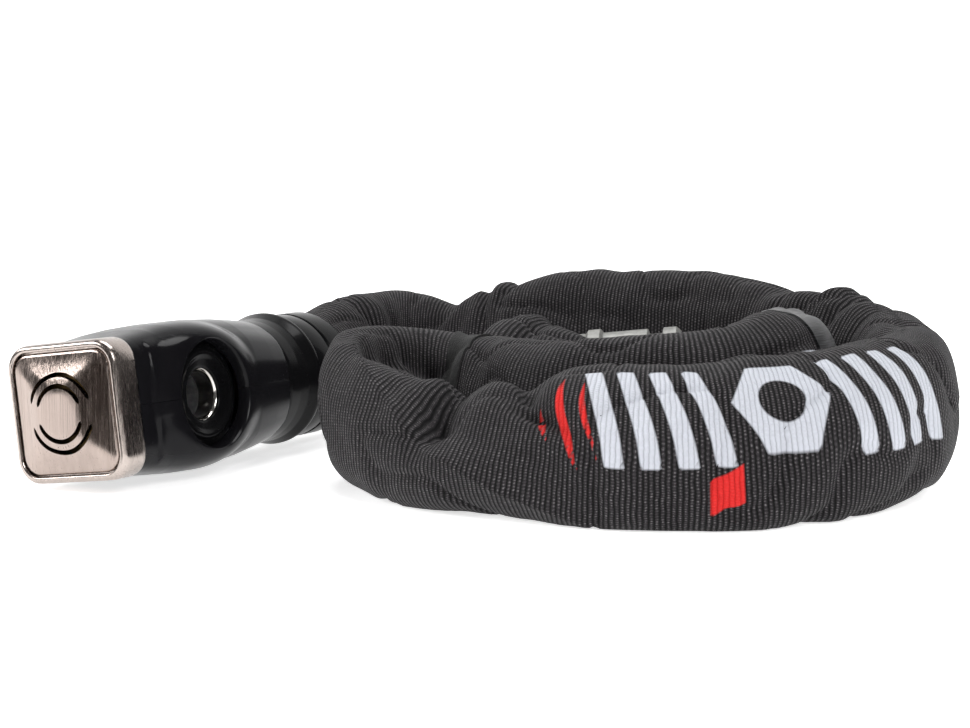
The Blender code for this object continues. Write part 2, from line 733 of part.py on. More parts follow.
def tube(line, along, start, end, count, inner, outer):
    """A hollow tube that follows the sleeve, from one distance to another."""
    insides, outsides = [], []
    for i in range(count):
        place = start + (end - start) * i / (count - 1)
        row = at(line, along, place)
        before, after = at(line, along, place - 2.0), at(line, along, place + 2.0)
        heading = Vector(after[:3]) - Vector(before[:3])
        outsides.append(section(row, heading, outer))
        insides.append(section(row, heading, inner))
    return skin(outsides + insides[::-1], closed=True)


def locking_bolt(start, pivot):
    """The bolt that plugs into the head, held on the tilted last link by a cross pin."""
    link = pivot - start
    heading = math.atan2(link.y, link.x)
    axis = empty("bolt_swing_axis", pivot)
    turn = Matrix.Rotation(heading, 4, "Z") @ Matrix.Rotation(-LAST_LINK_TILT, 4, "Y")
    axis.rotation_euler = (turn @ Matrix.Rotation(BOLT_HEADING - heading, 4, "Z")).to_euler()
    gap = WIRE_R * math.sin(math.pi / 3) + 0.4
    make("bolt_cross_pin", rod(-gap - EAR_THICK, gap + EAR_THICK, PIN_R, "Z", 16), steel(), axis)
    shaft = (
        (13.0, 0), (13.0, BOLT_SHOULDER_R - 1.2), (14.0, BOLT_SHOULDER_R), (18.0, BOLT_SHOULDER_R),
        (19.0, BOLT_R), (33.9, BOLT_R), (34.5, 4.8), (38.7, 4.8), (39.3, BOLT_R), (43.6, BOLT_R),
        (45.0, 5.0), (45.0, 0),
    )
    obj = make("locking_bolt", turned(shaft, 24, "X"), steel(), axis)
    for side in (-1, 1):
        low, high = sorted((side * gap, side * (gap + EAR_THICK)))
        boolean(obj, block((-4.4, -EAR_HALF, low), (15.0, EAR_HALF, high)), "UNION")
    boolean(obj, rod(-20, 20, PIN_R + FIT_GAP, "Z", 16))


def main():
    clear_scene()
    head = empty("head_swing_axis", HEAD_PIN + CENTRING, None, HEAD_ROLL, HEAD_TURN)
    front_bezel(head)
    speaker_plate(head)
    siren_and_board(head)
    half_shell("upper_shell", 1, head)
    half_shell("lower_shell", -1, head)
    shell_screws(head)
    lock_core(head)
    latch(head)
    latch_spring(head)
    key_plug(head)
    socket_parts(head)
    arming_plunger(head)
    battery_parts(head)
    neck_parts(head)

    route = [(row[0] + CENTRING.x, row[1] + CENTRING.y, *row[2:]) for row in ROUTE]
    line = curve(route)
    along = distances(line)
    frames, chain_end = chain_frames(line, along)
    chain(frames)
    locking_bolt(*frames[-1][:2])
    sleeve_end = chain_end - SLEEVE_END_GAP
    sleeve = tube(line, along, SLEEVE_START, sleeve_end, SLEEVE_RINGS, -SLEEVE_WALL, 0.0)
    make("woven_sleeve", sleeve, weave())


main()
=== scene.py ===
"""The looks of the chain lock: a lock head with a speaker plate on a chain in a ribbed nylon sleeve.

Lengths are millimetres until a mesh is made, and the lock head's own pieces are built in its own
frame: x from the speaker end to the chain, y away from the bolt socket, z up, zero at the anchor pin.
"""

import json
import math

import bmesh
import bpy
import numpy as np
from mathutils import Matrix, Vector, noise


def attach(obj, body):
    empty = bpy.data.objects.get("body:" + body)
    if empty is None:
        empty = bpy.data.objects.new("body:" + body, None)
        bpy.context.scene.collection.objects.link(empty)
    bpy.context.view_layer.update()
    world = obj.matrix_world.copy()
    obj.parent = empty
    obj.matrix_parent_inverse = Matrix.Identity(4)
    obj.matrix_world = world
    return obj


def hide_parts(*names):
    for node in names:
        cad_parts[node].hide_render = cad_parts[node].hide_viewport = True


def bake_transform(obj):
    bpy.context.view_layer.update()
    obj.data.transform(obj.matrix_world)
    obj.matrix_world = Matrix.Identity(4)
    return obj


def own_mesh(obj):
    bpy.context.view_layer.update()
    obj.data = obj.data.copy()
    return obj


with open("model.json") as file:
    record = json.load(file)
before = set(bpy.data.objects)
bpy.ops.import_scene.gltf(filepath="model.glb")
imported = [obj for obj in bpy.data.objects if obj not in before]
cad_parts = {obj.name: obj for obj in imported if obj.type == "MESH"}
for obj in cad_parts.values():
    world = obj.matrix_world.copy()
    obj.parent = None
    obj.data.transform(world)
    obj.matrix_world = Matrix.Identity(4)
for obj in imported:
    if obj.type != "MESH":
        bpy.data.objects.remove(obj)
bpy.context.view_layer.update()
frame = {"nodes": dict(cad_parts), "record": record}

MM = 0.001
JOINTS = {joint["name"]: joint for joint in frame["record"]["behaviour"]["joints"]}

# ---------------------------------------------------------------- camera

CAMERA_PLACE = Vector((0.2, -571.0, 93.3)) * MM
CAMERA_PITCH = math.radians(6.0)
CAMERA_LENS = 66.8


def make_camera():
    """A level camera with a small tilt down, in front of the coil."""
    data = bpy.data.cameras.new("camera")
    data.lens = CAMERA_LENS
    data.sensor_width = 36.0
    data.clip_start = 0.01
    camera = bpy.data.objects.new("camera", data)
    camera.location = CAMERA_PLACE
    camera.rotation_euler = (math.pi / 2 - CAMERA_PITCH, 0, 0)
    bpy.context.scene.collection.objects.link(camera)
    bpy.context.scene.camera = camera


make_camera()

# ---------------------------------------------------------------- node materials


class Paint:
    """A node material under construction."""

    def __init__(self, name, colour, roughness, metallic=0.0):
        self.material = bpy.data.materials.new(name)
        self.material.use_nodes = True
        self.tree = self.material.node_tree
        self.shader = self.tree.nodes["Principled BSDF"]
        self.shader.inputs["Base Color"].default_value = (*colour, 1.0)
        self.shader.inputs["Roughness"].default_value = roughness
        self.shader.inputs["Metallic"].default_value = metallic

    def add(self, kind, *sources, **settings):
        """Adds a node, feeds its inputs in order (None skips one) and returns its first output."""
        node = self.tree.nodes.new("ShaderNode" + kind)
        for key, value in settings.items():
            if hasattr(node, key):
                setattr(node, key, value)
            else:
                node.inputs[key.replace("_", " ")].default_value = value
        self.feed(node, sources)
        return node.outputs[0]

    def feed(self, node, sources):
        """Links or sets the node's inputs in order. A source of None leaves its input alone."""
        for place, source in enumerate(sources):
            if source is None:
                continue
            if isinstance(source, bpy.types.NodeSocket):
                self.tree.links.new(source, node.inputs[place])
            else:
                node.inputs[place].default_value = source

    def coords(self, scale):
        """Object coordinates, in metres, multiplied by a scale along each axis."""
        where = self.tree.nodes.new("ShaderNodeTexCoord").outputs["Object"]
        mapping = self.tree.nodes.new("ShaderNodeMapping")
        mapping.inputs["Scale"].default_value = scale
        self.tree.links.new(where, mapping.inputs["Vector"])
        return mapping.outputs[0]

    def noise(self, scale, detail=3.0, roughness=0.55):
        """Noise over the object, with its own scale along each axis."""
        return self.add("TexNoise", self.coords(scale), Scale=1.0, Detail=detail, Roughness=roughness)

    def span(self, value, low, high, from_low=0.0, from_high=1.0):
        """The value, mapped from one range to another and clamped."""
        node = self.tree.nodes.new("ShaderNodeMapRange")
        self.feed(node, (value, from_low, from_high, low, high))
        return node.outputs[0]

    def math(self, operation, *sources):
        """The result of a maths node on sockets and numbers."""
        node = self.tree.nodes.new("ShaderNodeMath")
        node.operation = operation
        self.feed(node, sources)
        return node.outputs[0]

    def mix(self, share, first, second):
        """A mix of two colours."""
        node = self.tree.nodes.new("ShaderNodeMix")
        node.data_type = "RGBA"
        for name, source in (("Factor", share), ("A", first), ("B", second)):
            socket = [s for s in node.inputs if s.name == name and s.enabled][0]
            if isinstance(source, bpy.types.NodeSocket):
                self.tree.links.new(source, socket)
            else:
                socket.default_value = (*source, 1.0) if hasattr(source, "__len__") else source
        return [s for s in node.outputs if s.enabled][0]

    def attribute(self, name):
        """A value stored on the mesh's points."""
        node = self.tree.nodes.new("ShaderNodeAttribute")
        node.attribute_name = name
        return node.outputs["Fac"]

    def bump(self, height, distance, strength=1.0, under=None):
        """A normal bent by a height, over another bent normal if there is one."""
        node = self.tree.nodes.new("ShaderNodeBump")
        node.inputs["Distance"].default_value = distance
        node.inputs["Strength"].default_value = strength
        self.tree.links.new(height, node.inputs["Height"])
        if under:
            self.tree.links.new(under, node.inputs["Normal"])
        return node.outputs[0]

    def to(self, name, source):
        """Links a source to the shader's input of that name."""
        self.tree.links.new(source, self.shader.inputs[name])


def grained(name, colour, other, roughness, metallic, scale, bump, spread=0.1):
    """A material with colour, roughness and height that vary with a grain of its own scale."""
    paint = Paint(name, colour, roughness, metallic)
    grain = paint.noise(scale, 4.0)
    paint.to("Base Color", paint.mix(paint.span(grain, 0.0, 1.0, 0.35, 0.65), colour, other))
    smear = paint.noise((60, 60, 60), 3.0)
    rough = paint.span(smear, roughness - spread, roughness + spread, 0.3, 0.7)
    paint.to("Roughness", rough)
    paint.to("Normal", paint.bump(grain, bump))
    return paint.material


def brushed(name, colour, roughness, fine, along):
    """Brushed metal: hair lines along one axis, some longer and deeper than others."""
    paint = Paint(name, colour, roughness, 1.0)
    paint.shader.inputs["Anisotropic"].default_value = 0.35
    hair = paint.noise(fine, 2.0)
    streak = paint.noise(along, 3.0)
    tone = paint.span(streak, 0.0, 1.0, 0.3, 0.7)
    darker = tuple(channel * 0.87 for channel in colour)
    paint.to("Base Color", paint.mix(tone, darker, colour))
    rough = paint.span(hair, roughness - 0.09, roughness + 0.12, 0.25, 0.75)
    paint.to("Roughness", rough)
    fine_bump = paint.bump(hair, 0.00006, 0.6)
    paint.to("Normal", paint.bump(streak, 0.00012, 0.17, fine_bump))
    return paint.material


def moulded(name, colour, roughness, gloss):
    """Moulded satin plastic: a fine grain, faint scuffs and a soft clear layer."""
    paint = Paint(name, colour, roughness)
    paint.shader.inputs["Specular IOR Level"].default_value = gloss
    paint.shader.inputs["Coat Weight"].default_value = gloss
    paint.shader.inputs["Coat Roughness"].default_value = 0.1
    grain = paint.noise((2600, 2600, 2600), 2.0)
    cloud = paint.noise((40, 40, 40), 3.0)
    scuff = paint.noise((90, 900, 500), 4.0, 0.7)
    lighter = tuple(channel * 1.3 + 0.001 for channel in colour)
    paint.to("Base Color", paint.mix(paint.span(cloud, 0.0, 1.0, 0.35, 0.7), colour, lighter))
    base = paint.span(cloud, roughness - 0.05, roughness + 0.07, 0.3, 0.7)
    worn = paint.span(scuff, 0.0, 0.14, 0.64, 0.74)
    paint.to("Roughness", paint.math("ADD", base, worn))
    paint.to("Normal", paint.bump(grain, 0.000008, 0.3))
    return paint.material


RIB_PITCH = 1.25
THREAD_PITCH = 0.72
RIB_WANDER = 0.35
PRINT_EDGE = 0.25
PRINT_COVER = 0.92
# The nylon's colours: painted shade for the valleys between threads, the cloth's own colour on the thread
# tops, and a painted glint.
NYLON_VALLEY_SHADE = (0.0012, 0.001, 0.0013)
NYLON_TOP = (0.03, 0.026, 0.029)
NYLON_PAINTED_GLINT = (0.16, 0.15, 0.155)
PRINT_WHITE = (0.60, 0.62, 0.68)
PRINT_RED = (0.70, 0.016, 0.014)


def woven(name):
    """Ribbed nylon: ribs round the tube, each a row of raised threads, with a print on it. Its valleys carry
    painted shade and its thread tops painted glints.
    """
    paint = Paint(name, (0.02, 0.018, 0.02), 0.8)
    paint.shader.inputs["Specular IOR Level"].default_value = 0.28
    paint.shader.inputs["Sheen Weight"].default_value = 0.03
    paint.shader.inputs["Sheen Roughness"].default_value = 0.45
    along = paint.attribute("along")
    around = paint.attribute("around")
    wobble = paint.span(paint.noise((240, 240, 240), 2.0), -RIB_WANDER, RIB_WANDER)
    rib_phase = paint.math("DIVIDE", paint.math("ADD", along, wobble), RIB_PITCH)
    rib = paint.math("ABSOLUTE", paint.math("SINE", paint.math("MULTIPLY", rib_phase, math.pi)))
    row = paint.math("FLOOR", rib_phase)
    shift = paint.math("MULTIPLY", paint.math("MODULO", row, 2.0), 0.5)
    thread_phase = paint.math("ADD", paint.math("DIVIDE", around, THREAD_PITCH), shift)
    wave = paint.math("SINE", paint.math("MULTIPLY", thread_phase, 2 * math.pi))
    thread = paint.span(wave, 0.0, 1.0, -1.0, 1.0)
    height = paint.math("MULTIPLY", rib, paint.span(thread, 0.68, 1.0))
    # Painted glints: bright specks of colour on the highest thread tops, standing in for highlights.
    glint_spread = paint.noise((1500, 1500, 1500), 1.0)
    raised = paint.span(height, 0.0, 1.0, 0.7, 0.98)
    glint = paint.math("MULTIPLY", raised, paint.span(glint_spread, 0.0, 1.0, 0.45, 0.72))
    # Painted shade: the colour darkens from the thread tops down into the valleys between them.
    tone = paint.mix(paint.span(height, 0.0, 1.0, 0.35, 0.95), NYLON_VALLEY_SHADE, NYLON_TOP)
    tone = paint.mix(glint, tone, NYLON_PAINTED_GLINT)
    white = paint.span(paint.attribute("white_print"), 0.0, PRINT_COVER, -PRINT_EDGE, PRINT_EDGE)
    red = paint.span(paint.attribute("red_print"), 0.0, PRINT_COVER, -PRINT_EDGE, PRINT_EDGE)
    cover = paint.span(height, 0.72, 1.0, 0.05, 0.4)
    tone = paint.mix(paint.math("MULTIPLY", white, cover), tone, PRINT_WHITE)
    tone = paint.mix(paint.math("MULTIPLY", red, cover), tone, PRINT_RED)
    paint.to("Base Color", tone)
    paint.to("Roughness", paint.span(height, 0.95, 0.62))
    fuzz = paint.bump(paint.noise((3000, 3000, 3000), 2.0), 0.00012, 0.4)
    paint.to("Normal", paint.bump(height, 0.00042, 0.9, fuzz))
    return paint.material


def fuzzy(name):
    """Hook-and-loop tape: a dull, brushed-up pile."""
    paint = Paint(name, (0.004, 0.004, 0.004), 0.95)
    paint.shader.inputs["Sheen Weight"].default_value = 0.06
    pile = paint.noise((1400, 1400, 700), 4.0, 0.75)
    tips = paint.span(pile, 0.0, 1.0, 0.4, 0.7)
    paint.to("Base Color", paint.mix(tips, (0.0012, 0.0012, 0.0012), (0.012, 0.012, 0.0115)))
    paint.to("Normal", paint.bump(pile, 0.0006, 0.8))
    return paint.material


def satin(name):
    """Satin binding: fine threads across the band, with lighter streaks of painted sheen along them."""
    paint = Paint(name, (0.02, 0.02, 0.021), 0.42)
    thread = paint.noise((120, 120, 4200), 2.0)
    # Painted sheen: the threads are lightened in the colour where the satin would catch the light.
    painted_sheen = paint.span(thread, 0.0, 1.0, 0.45, 0.75)
    paint.to("Base Color", paint.mix(painted_sheen, (0.008, 0.008, 0.009), (0.09, 0.09, 0.095)))
    paint.to("Roughness", paint.span(thread, 0.36, 0.6, 0.3, 0.7))
    paint.to("Normal", paint.bump(thread, 0.0002, 0.7))
    return paint.material


NICKEL = brushed("nickel", (0.35, 0.288, 0.258), 0.2, (2600, 2600, 18), (500, 500, 9))
NICKEL_SIDE = brushed("nickel_side", (0.42, 0.365, 0.335), 0.22, (2200, 2200, 26), (420, 420, 12))
PLASTIC = moulded("housing", (0.0046, 0.0044, 0.0054), 0.2, 0.075)
PLASTIC_RING = moulded("neck_plastic", (0.0032, 0.0032, 0.0036), 0.2, 0.065)
RUBBER = grained("rubber", (0.012, 0.012, 0.013), (0.024, 0.024, 0.025), 0.55, 0.0, (900, 900, 900), 0.00012)
CHROME = grained("chrome", (0.62, 0.60, 0.57), (0.42, 0.40, 0.37), 0.14, 1.0, (160, 160, 160), 0.00003, 0.06)
STEEL = grained("steel", (0.5, 0.5, 0.49), (0.36, 0.36, 0.355), 0.42, 1.0, (700, 700, 700), 0.00008)
BOLT_STEEL = grained("bolt_steel", (0.3, 0.3, 0.285), (0.22, 0.22, 0.21), 0.55, 0.5, (420, 420, 420), 0.0001)
ZINC = grained("zinc", (0.4, 0.4, 0.41), (0.3, 0.3, 0.31), 0.5, 1.0, (500, 500, 500), 0.00015)
BRASS = grained("brass", (0.16, 0.11, 0.05), (0.1, 0.07, 0.03), 0.45, 1.0, (300, 300, 300), 0.00005)
BOARD = grained("board", (0.02, 0.12, 0.05), (0.05, 0.2, 0.09), 0.45, 0.0, (700, 120, 700), 0.0001)
# The cell's wrap is near black: partly its own colour, and partly painted shade so the cell stays dark inside
# the head.
CELL = grained("cell", (0.012, 0.012, 0.014), (0.02, 0.02, 0.024), 0.35, 0.0, (200, 200, 900), 0.00005)
SLEEVE = woven("sleeve_weave")
FUZZY = fuzzy("loop_tape")
SATIN = satin("satin_tape")

CAD_PAINTS = {
    "brass": BRASS,
    "circuit_board": BOARD,
    "black_rubber": RUBBER,
    "die_cast_zinc": ZINC,
    "hardened_steel": STEEL,
    "chrome": CHROME,
    "cell_wrap": CELL,
    "housing_plastic": PLASTIC_RING,
    "brushed_nickel": NICKEL,
}


def paint_cad_nodes():
    """Gives every carried-over CAD node its procedural material."""
    for part in frame["record"]["subparts"]:
        node = frame["nodes"][part["node"]]
        if part["material_slot"] not in CAD_PAINTS:
            continue
        node.data.materials.clear()
        node.data.materials.append(CAD_PAINTS[part["material_slot"]])


# ---------------------------------------------------------------- mesh helpers

HEAD_X = -Vector(JOINTS["plunger_press"]["axis"]).normalized()
HEAD_Y = Vector(JOINTS["key_turn"]["axis"]).normalized()
HEAD_Z = HEAD_X.cross(HEAD_Y)
HEAD_PIN = Vector(JOINTS["head_swing"]["pos_m"])
HEAD_FRAME = Matrix.Translation(HEAD_PIN) @ Matrix((HEAD_X, HEAD_Y, HEAD_Z)).transposed().to_4x4()


def grid_mesh(points, closed_rows=False):
    """(vertices, faces) of a grid of points whose columns wrap round, and its rows too if closed_rows."""
    rows, columns = len(points), len(points[0])
    vertices = [tuple(p) for row in points for p in row]
    faces = []
    for i in range(rows if closed_rows else rows - 1):
        low, high = i * columns, (i + 1) % rows * columns
        for j in range(columns):
            k = (j + 1) % columns
            faces.append((low + j, low + k, high + k, high + j))
    return vertices, faces


def make(name, vertices, faces, material, matrix=None, angle=35.0):
    """A smooth-shaded object from points in millimetres."""
    mesh = bpy.data.meshes.new(name)
    mesh.from_pydata([(x * MM, y * MM, z * MM) for x, y, z in vertices], [], faces)
    bm = bmesh.new()
    bm.from_mesh(mesh)
    bmesh.ops.recalc_face_normals(bm, faces=bm.faces)
    bm.to_mesh(mesh)
    bm.free()
    if matrix is not None:
        mesh.transform(matrix)
    mesh.shade_smooth()
    mesh.set_sharp_from_angle(angle=math.radians(angle))
    mesh.materials.append(material)
    obj = bpy.data.objects.new(name, mesh)
    bpy.context.scene.collection.objects.link(obj)
    return obj


def loft(name, rings, material, matrix=None, angle=35.0):
    """A closed solid through rings, with flat ends."""
    vertices, faces = grid_mesh(rings)
    count = len(rings[0])
    last = (len(rings) - 1) * count
    faces.append(tuple(reversed(range(count))))
    faces.append(tuple(range(last, last + count)))
    return make(name, vertices, faces, material, matrix, angle)


def ring_solid(name, rings, material, matrix=None, angle=35.0):
    """A closed solid whose rings join end to end, such as a frame or a turned ring."""
    vertices, faces = grid_mesh(rings, closed_rows=True)
    return make(name, vertices, faces, material, matrix, angle)


def turned_rings(profile, segments, centre, axis="y"):
    """Rings of points for (along, radius) pairs turned about an axis through centre."""
    rings = []
    for along, radius in profile:
        ring = []
        for i in range(segments):
            angle = 2 * math.pi * i / segments
            a, b = radius * math.cos(angle), radius * math.sin(angle)
            offset = {"x": (along, a, b), "y": (a, along, b), "z": (a, b, along)}[axis]
            ring.append(tuple(c + o for c, o in zip(centre, offset)))
        rings.append(ring)
    return rings


def rounded(profile, radius=0.3, steps=3):
    """The closed profile with its corners rounded."""
    made = []
    count = len(profile)
    for i in range(count):
        before, here, after = (Vector(profile[(i + k) % count]) for k in (-1, 0, 1))
        start, end = before - here, after - here
        reach = min(radius, start.length / 2.2, end.length / 2.2)
        first, last = here + start.normalized() * reach, here + end.normalized() * reach
        for step in range(steps + 1):
            t = step / steps
            made.append(tuple(first.lerp(here, t).lerp(here.lerp(last, t), t)))
    return made


def cut(obj, tool):
    """Takes the tool's shape out of obj and removes the tool."""
    modifier = obj.modifiers.new("cut", "BOOLEAN")
    modifier.operation = "DIFFERENCE"
    modifier.solver = "EXACT"
    modifier.object = tool
    graph = bpy.context.evaluated_depsgraph_get()
    result = bpy.data.meshes.new_from_object(obj.evaluated_get(graph))
    obj.modifiers.clear()
    obj.data = result
    bpy.data.objects.remove(tool)


def resharpen(obj, degrees):
    """Smooth shading again after a cut, with sharp edges where faces meet at more than degrees."""
    obj.data.shade_smooth()
    obj.data.set_sharp_from_angle(angle=math.radians(degrees))


def smoothstep(value, low, high):
    """0 below low, 1 above high, and eased between them."""
    share = min(max((value - low) / (high - low), 0.0), 1.0)
    return share * share * (3 - 2 * share)


# ---------------------------------------------------------------- lock head

# The housing. A boss is flat out to its first radius and has blended into the side by its second, and
# points closer to the middle than BOSS_CLEAR don't rise. A station is x, half width and squareness.
BOLT_X = -67.4
LIP_Y = 25.0
RECESS_R = 16.4
RECESS_FLOOR = 19.0
BORE_CUT_R = 9.6
BORE_CUT_FLOOR = 14.0
KEY_SEAT_Y = 23.2
KEY_SEAT_R = 11.6
KEY_CUT_R = 10.1
SOCKET_BOSS = (16.6, 26.5)
KEY_BOSS = (13.8, 22.5)
BOSS_CLEAR = 5
PARTING_GAP = 0.12
WALL = 2.2
END_SOFTNESS = 0.22
SHELL_FRONT = -98.0
SHELL_BACK = -22.3
SHELL_LENGTH = SHELL_BACK - SHELL_FRONT
SHELL_STATIONS = (
    (SHELL_FRONT, 20.3, 4.6), (-93.6, 20.8, 4.4), (-84.0, 22.2, 3.9), (-76.0, 23.0, 3.5), (-67.0, 23.4, 3.2),
    (-55.0, 23.4, 3.0), (-42.0, 22.8, 2.7), (-31.0, 21.8, 2.45), (SHELL_BACK, 20.8, 2.3),
)
FOOT_Z = -22.8
CHEEK_X = -93.4
CHEEK_RISE = 0.6
CHEEK_RUN = 1.6
CHEEK_BOW = 0.006
CHEEK_SIDES = (0.62, 0.85)
NECK_ROLL = 0.7
NECK_ROLL_LENGTH = 1.1
SHELL_STEPS = 190
HALF_ROUND_STEPS = 150
INNER_SHELL_STRIDE = 5
BORE_SEGMENTS = 96


def shell_at(x):
    """(half width, squareness) of the shell at a station."""
    table = SHELL_STATIONS
    for (x0, h0, p0), (x1, h1, p1) in zip(table, table[1:]):
        if x <= x1:
            t = max((x - x0) / (x1 - x0), 0.0)
            return h0 + (h1 - h0) * t, p0 + (p1 - p0) * t
    return table[-1][1:]


def raised_to_boss(x, y, z):
    """The side's y where it rises to the flat boss round the bolt's socket or round the key."""
    if abs(y) <= BOSS_CLEAR:
        return y
    spread = SOCKET_BOSS if y < 0 else KEY_BOSS
    rise = 1.0 - smoothstep(math.hypot(x - BOLT_X, z), *spread)
    target = math.copysign(max(abs(y), LIP_Y), y)
    return y * (1 - rise) + target * rise


def shell_point(x, angle, inset):
    """A point of the shell's skin, with the cheek, the bosses and the step near the neck."""
    half, power = shell_at(x)
    half -= inset
    c, s = math.cos(angle), math.sin(angle)
    y = math.copysign(abs(c) ** (2 / power) * half, c)
    z = math.copysign(abs(s) ** (2 / power) * half, s)
    z = max(z, FOOT_Z + inset)
    if inset:
        return x, y, z
    side = smoothstep(abs(c), *CHEEK_SIDES)
    cheek = smoothstep(x - CHEEK_BOW * z * z, CHEEK_X, CHEEK_X + CHEEK_RUN) * side
    y += math.copysign(CHEEK_RISE * cheek, c)
    roll_in = NECK_ROLL * smoothstep(x, SHELL_BACK - NECK_ROLL_LENGTH, SHELL_BACK) ** 2
    y -= math.copysign(roll_in, c) * abs(c)
    z -= math.copysign(roll_in, s) * abs(s)
    return x, raised_to_boss(x, y, z), z


def half_ring(x, side, edge, inset, steps):
    """Points round one half of the shell at a station, kept on their own side of the parting line."""
    ring = []
    for step in steps:
        px, py, pz = shell_point(x, step / HALF_ROUND_STEPS * math.pi * side, inset)
        pz = max(pz, edge) if side > 0 else min(pz, edge)
        ring.append((px, py, pz))
    return ring


def shell_half(name, side):
    """The upper (side 1) or lower (side -1) half of the moulded housing."""
    edge = side * PARTING_GAP / 2
    rings = []
    for i in range(SHELL_STEPS + 1):
        x = SHELL_FRONT + SHELL_LENGTH * i / SHELL_STEPS
        outer = half_ring(x, side, edge, 0.0, range(HALF_ROUND_STEPS + 1))
        inner = half_ring(x, side, edge, WALL, range(HALF_ROUND_STEPS, -1, -INNER_SHELL_STRIDE))
        for end in (0, -1):
            ox, oy, oz = outer[end]
            outer[end] = (ox, oy - math.copysign(END_SOFTNESS, oy), oz)
        rings.append(outer + inner)
    obj = loft(name, rings, PLASTIC, HEAD_FRAME, angle=32.0)
    recess = (
        (-LIP_Y - 3.0, RECESS_R + 3.0), (-LIP_Y - 0.3, RECESS_R + 1.3), (-LIP_Y + 0.3, RECESS_R + 0.5),
        (-LIP_Y + 1.2, RECESS_R), (-RECESS_FLOOR - 0.4, RECESS_R), (-RECESS_FLOOR, RECESS_R - 0.4),
        (-RECESS_FLOOR, BORE_CUT_R), (-BORE_CUT_FLOOR, BORE_CUT_R),
    )
    key_bore = (
        (LIP_Y + 2.0, KEY_SEAT_R + 0.8), (LIP_Y - 0.3, KEY_SEAT_R + 0.1), (KEY_SEAT_Y, KEY_SEAT_R),
        (KEY_SEAT_Y, KEY_CUT_R), (BORE_CUT_FLOOR, KEY_CUT_R),
    )
    for profile in (recess, key_bore):
        tool_rings = turned_rings(profile, BORE_SEGMENTS, (BOLT_X, 0, 0))
        cut(obj, loft("tool", tool_rings, PLASTIC, HEAD_FRAME))
    resharpen(obj, 38)
    return obj


def rounded_square(x, half, corner, steps=10):
    """A ring of points round a square with rounded corners, across the head's length at x."""
    ring = []
    for quarter in range(4):
        middle = math.pi / 4 + quarter * math.pi / 2
        cy = math.copysign(half - corner, math.cos(middle))
        cz = math.copysign(half - corner, math.sin(middle))
        for step in range(steps + 1):
            angle = (quarter + step / steps) * math.pi / 2
            ring.append((x, cy + corner * math.cos(angle), cz + corner * math.sin(angle)))
    return ring


FACE_X = -108.0
BEZEL_HALF = 20.75
PLATE_HALF = 18.1
PLATE_CROWN = 3.0
FLANK_RUN = 0.55
FLANK_PART = 0.35
DOME_RUN = 0.72


def front_bezel():
    """The brushed metal frame, with rolled edges front and back."""
    profile = (
        (0.0, 19.3, 6.7), (0.08, 19.75, 6.95), (0.35, 20.15, 7.15), (0.9, 20.5, 7.3), (1.9, 20.7, 7.45),
        (3.4, BEZEL_HALF, 7.5), (8.6, BEZEL_HALF, 7.5), (9.4, 20.6, 7.45), (9.8, 20.2, 7.2), (9.8, 18.0, 5.0),
        (4.6, 18.0, 5.0), (4.6, 15.6, 4.0), (2.6, 15.6, 4.0), (2.6, 18.6, 6.0), (0.5, 18.62, 6.0),
        (0.12, 18.75, 6.1), (0.0, 19.0, 6.4),
    )
    rings = [rounded_square(FACE_X + x, half, corner) for x, half, corner in profile]
    obj = ring_solid("bezel_frame", rings, NICKEL_SIDE, HEAD_FRAME, angle=50.0)
    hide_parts("front_bezel")
    return obj


# The plate. As shares of the way to its rim, it is round inside the first of PLATE_ROUND_FROM and square
# outside the second, and its rim turns back from RIM_START.
SLOT_RADII = (8.2, 11.5)
SLOT_HALF_WIDTH = 0.72
SLOT_HALF_SPAN = math.radians(72)
SLOT_STEPS = 28
SLOT_END_POWER = 14
SLOT_CUT_DEPTH = 6
PLATE_STEPS = 34
PLATE_REACH = 0.985
PLATE_BACK_STRIDE = 8
PLATE_SET_BACK = 0.3
PLATE_THICK = 1.4
PLATE_CORNER = 0.3
PLATE_ROUND_FROM = (0.25, 0.75)
RIM_DROP = 0.55
RIM_START = 0.965


def slot_tool(radius, middle):
    """A cutter for one arc slot with round ends."""
    rings = []
    for i in range(SLOT_STEPS + 1):
        share = 2 * i / SLOT_STEPS - 1
        angle = middle + SLOT_HALF_SPAN * share
        width = SLOT_HALF_WIDTH * math.sqrt(max(1 - abs(share) ** SLOT_END_POWER, 0.02))
        ring = []
        for out, side in ((-1, -1), (-1, 1), (1, 1), (1, -1)):
            reach = radius + side * width
            ring.append((FACE_X + out * SLOT_CUT_DEPTH, reach * math.cos(angle), reach * math.sin(angle)))
        rings.append(ring)
    return loft("tool", rings, NICKEL, HEAD_FRAME)


def plate_crown(share):
    """How far the plate stands out at a share of the way from its middle to its rim."""
    flank = min((1 - share) / FLANK_RUN, 1.0)
    dome = smoothstep(1 - share, 0.0, DOME_RUN)
    return PLATE_CROWN * (FLANK_PART * flank + (1 - FLANK_PART) * dome)


